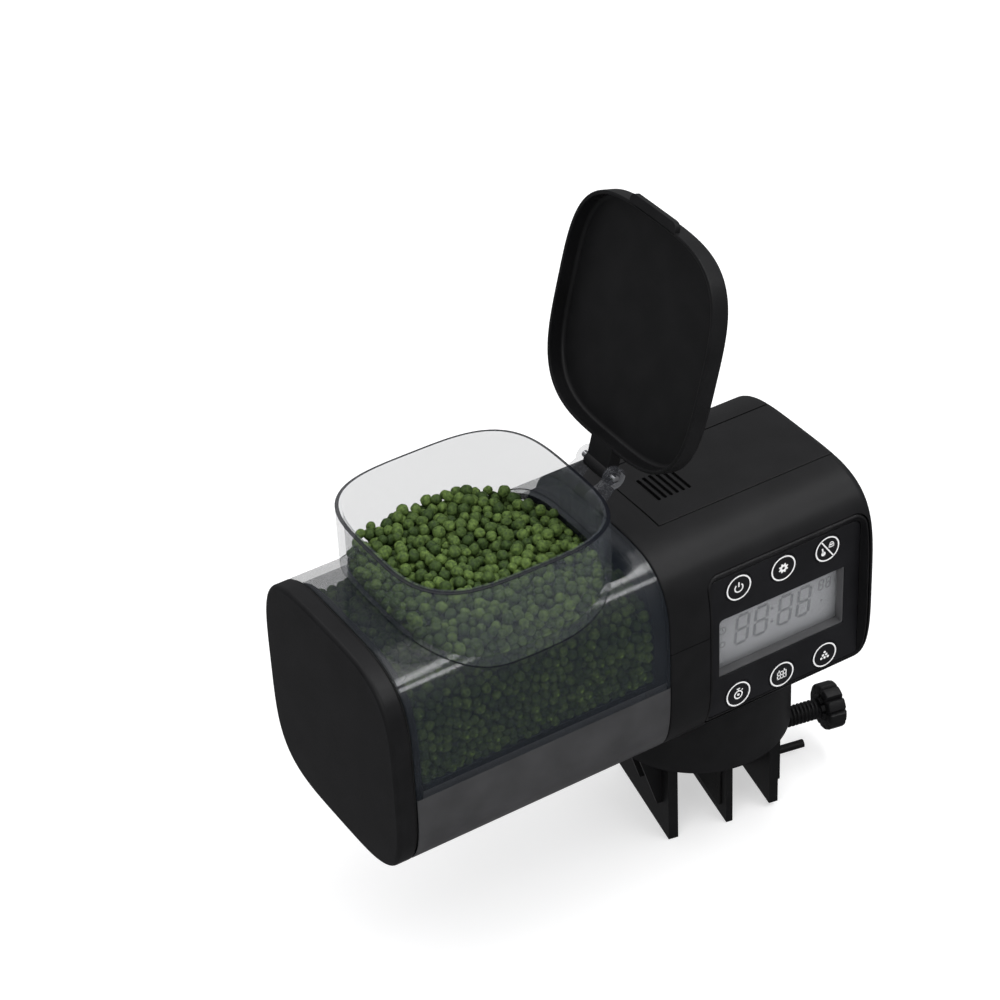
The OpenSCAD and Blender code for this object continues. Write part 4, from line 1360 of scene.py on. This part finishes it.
def pellet_shape(rng, detail):
    """One rough pellet of radius 1: its points and triangles"""
    work = bmesh.new()
    bmesh.ops.create_icosphere(work, subdivisions=detail, radius=1)
    co = np.array([v.co for v in work.verts])
    faces = np.array([[v.index for v in f.verts] for f in work.faces])
    work.free()
    for size, amount in ((1.6, 0.09), (3.2, 0.06)):
        wave = rng.normal(0, size, (5, 3))
        phase = rng.uniform(0, 2 * math.pi, 5)
        co = co * (1 + amount * np.sin(co @ wave.T + phase).mean(axis=1, keepdims=True) * 2)
    return co * rng.uniform(0.92, 1.06, 3), faces


def random_turns(rng, count):
    """Random rotation matrices"""
    q = rng.normal(size=(count, 4))
    q /= np.linalg.norm(q, axis=1)[:, None]
    w, x, y, z = q.T
    return np.stack(
        [
            np.stack([1 - 2 * (y * y + z * z), 2 * (x * y - z * w), 2 * (x * z + y * w)], 1),
            np.stack([2 * (x * y + z * w), 1 - 2 * (x * x + z * z), 2 * (y * z - x * w)], 1),
            np.stack([2 * (x * z - y * w), 2 * (y * z + x * w), 1 - 2 * (x * x + y * y)], 1),
        ],
        1,
    )


def make_pellets():
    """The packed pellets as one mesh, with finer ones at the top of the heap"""
    points, radii, rng = pack_pellets()
    seen = near_surface(points)
    points, radii = points[seen], radii[seen]
    fine_shapes = [pellet_shape(rng, 3) for i in range(PELLET_SHAPES)]
    plain_shapes = [pellet_shape(rng, 2) for i in range(PELLET_SHAPES)]
    turns = random_turns(rng, len(points))
    tones = rng.uniform(0.25, 0.75, len(points))
    fine = points[:, 2] > np.percentile(points[:, 2], 93)
    verts, faces, tone = [], [], []
    offset = 0
    for i, (p, r) in enumerate(zip(points, radii)):
        co, tri = (fine_shapes if fine[i] else plain_shapes)[i % PELLET_SHAPES]
        verts.append((co @ turns[i].T) * r * 1.03 + p)
        faces.append(tri + offset)
        tone.append(np.full(len(co), tones[i]))
        offset += len(co)
    mesh = bpy.data.meshes.new("food_pellets")
    mesh.from_pydata((np.concatenate(verts) * MM).tolist(), [], np.concatenate(faces).tolist())
    mesh.shade_smooth()
    attribute = mesh.attributes.new("tone", "FLOAT", "POINT")
    attribute.data.foreach_set("value", np.concatenate(tone).astype(np.float32))
    finish_piece(link_object("food_pellets", mesh), "housing", "food_green", mat=FOOD)


# ---- studio ----

CAMERA_LENS = 108
CAMERA_AZIMUTH = 30.393
CAMERA_ELEVATION = 36.104
CAMERA_ROLL = -3.05
CAMERA_OFFSET = (-28.585, 31.247, 852.459)
CAMERA_TARGET = Vector((-32.5, 0, 53))
FLOOR_R = 4000
LIGHTS = (
    ("overhead", (-0.1, 0.1, 1), 1.6, (2.2, 2.2), 18.5),
    ("strip_high", (0.41, -0.2, 0.89), 1.2, (1.0, 0.15), 3.6),
    ("strip_low", (0.41, -0.58, 0.71), 1.2, (1.0, 0.15), 3.2),
    ("front_left", (-0.9, -0.6, 0.6), 1.5, (0.7, 0.7), 4.5),
)


def make_camera():
    a, e, roll = (math.radians(v) for v in (CAMERA_AZIMUTH, CAMERA_ELEVATION, CAMERA_ROLL))
    back = Vector((-math.sin(a) * math.cos(e), -math.cos(a) * math.cos(e), math.sin(e)))
    level = Vector((math.cos(a), -math.sin(a), 0))
    upright = back.cross(level)
    right = math.cos(roll) * level + math.sin(roll) * upright
    up = -math.sin(roll) * level + math.cos(roll) * upright
    across, rise, away = CAMERA_OFFSET
    place = CAMERA_TARGET + across * right + rise * up + away * back
    data = bpy.data.cameras.new("camera")
    data.lens = CAMERA_LENS
    data.sensor_width = 36
    data.clip_start = 0.01
    data.clip_end = 50
    camera = link_object("camera", data)
    turn = Matrix((right, up, back)).transposed().to_4x4()
    camera.matrix_world = Matrix.Translation(place * MM) @ turn
    bpy.context.scene.camera = camera


def area_light(name, direction, distance, size, power):
    """A light that points at the middle of the object; distance and size are in metres"""
    data = bpy.data.lights.new(name, "AREA")
    data.shape = "RECTANGLE"
    data.size, data.size_y = size
    data.energy = power
    light = link_object(name, data)
    middle = Vector((-0.03, 0, 0.05))
    light.location = middle + Vector(direction).normalized() * distance
    light.rotation_euler = (middle - light.location).to_track_quat("-Z", "Y").to_euler()


def make_world():
    """A sky that is bright above, dimmer at the horizon and dark below, for the reflections"""
    world = bpy.data.worlds.new("studio")
    world.use_nodes = True
    tree = world.node_tree
    split = add(tree, "SeparateXYZ", Vector=add(tree, "TexCoord").outputs["Generated"])
    height = add(tree, "MapRange", Value=split.outputs["Z"], From_Min=-1)
    ramp = add(tree, "ValToRGB", Fac=height.outputs["Result"])
    low, high = ramp.color_ramp.elements
    low.position, low.color = 0.4, (0.15, 0.15, 0.154, 1)
    high.position, high.color = 0.75, (0.45, 0.45, 0.46, 1)
    connect(tree, tree.nodes["Background"], Color=ramp.outputs["Color"])
    bpy.context.scene.world = world


def make_studio():
    floor_z = node_box("clamp_base")[0].z - 0.2
    floor = prism("floor", circle(FLOOR_R, 64), "z", floor_z - 20, floor_z)
    mat, tree, shader = principled("floor_white")
    tint = colour_between(tree, noise(tree, 400.0), (0.64, 0.64, 0.64), (0.66, 0.66, 0.66))
    connect(tree, shader, Base_Color=tint, Roughness=0.9, Specular_IOR_Level=0)
    connect(tree, shader, Emission_Color=(1, 1, 1, 1), Emission_Strength=0.52)
    floor.data.materials.append(mat)
    floor.visible_glossy = False
    make_world()
    for light in LIGHTS:
        area_light(*light)
    bpy.context.scene.view_settings.view_transform = "Standard"


dress_cad_nodes()
make_upper_shell()
make_lower_shell()
make_battery_cover()
make_bezel()
make_film()
for key_name in KEYS:
    make_key(key_name)
make_display()
make_barrel()
make_liner()
make_end_cap()
make_hopper()
make_ears()
make_lid()
make_thumb_screw()
make_pellets()
make_camera()
make_studio()
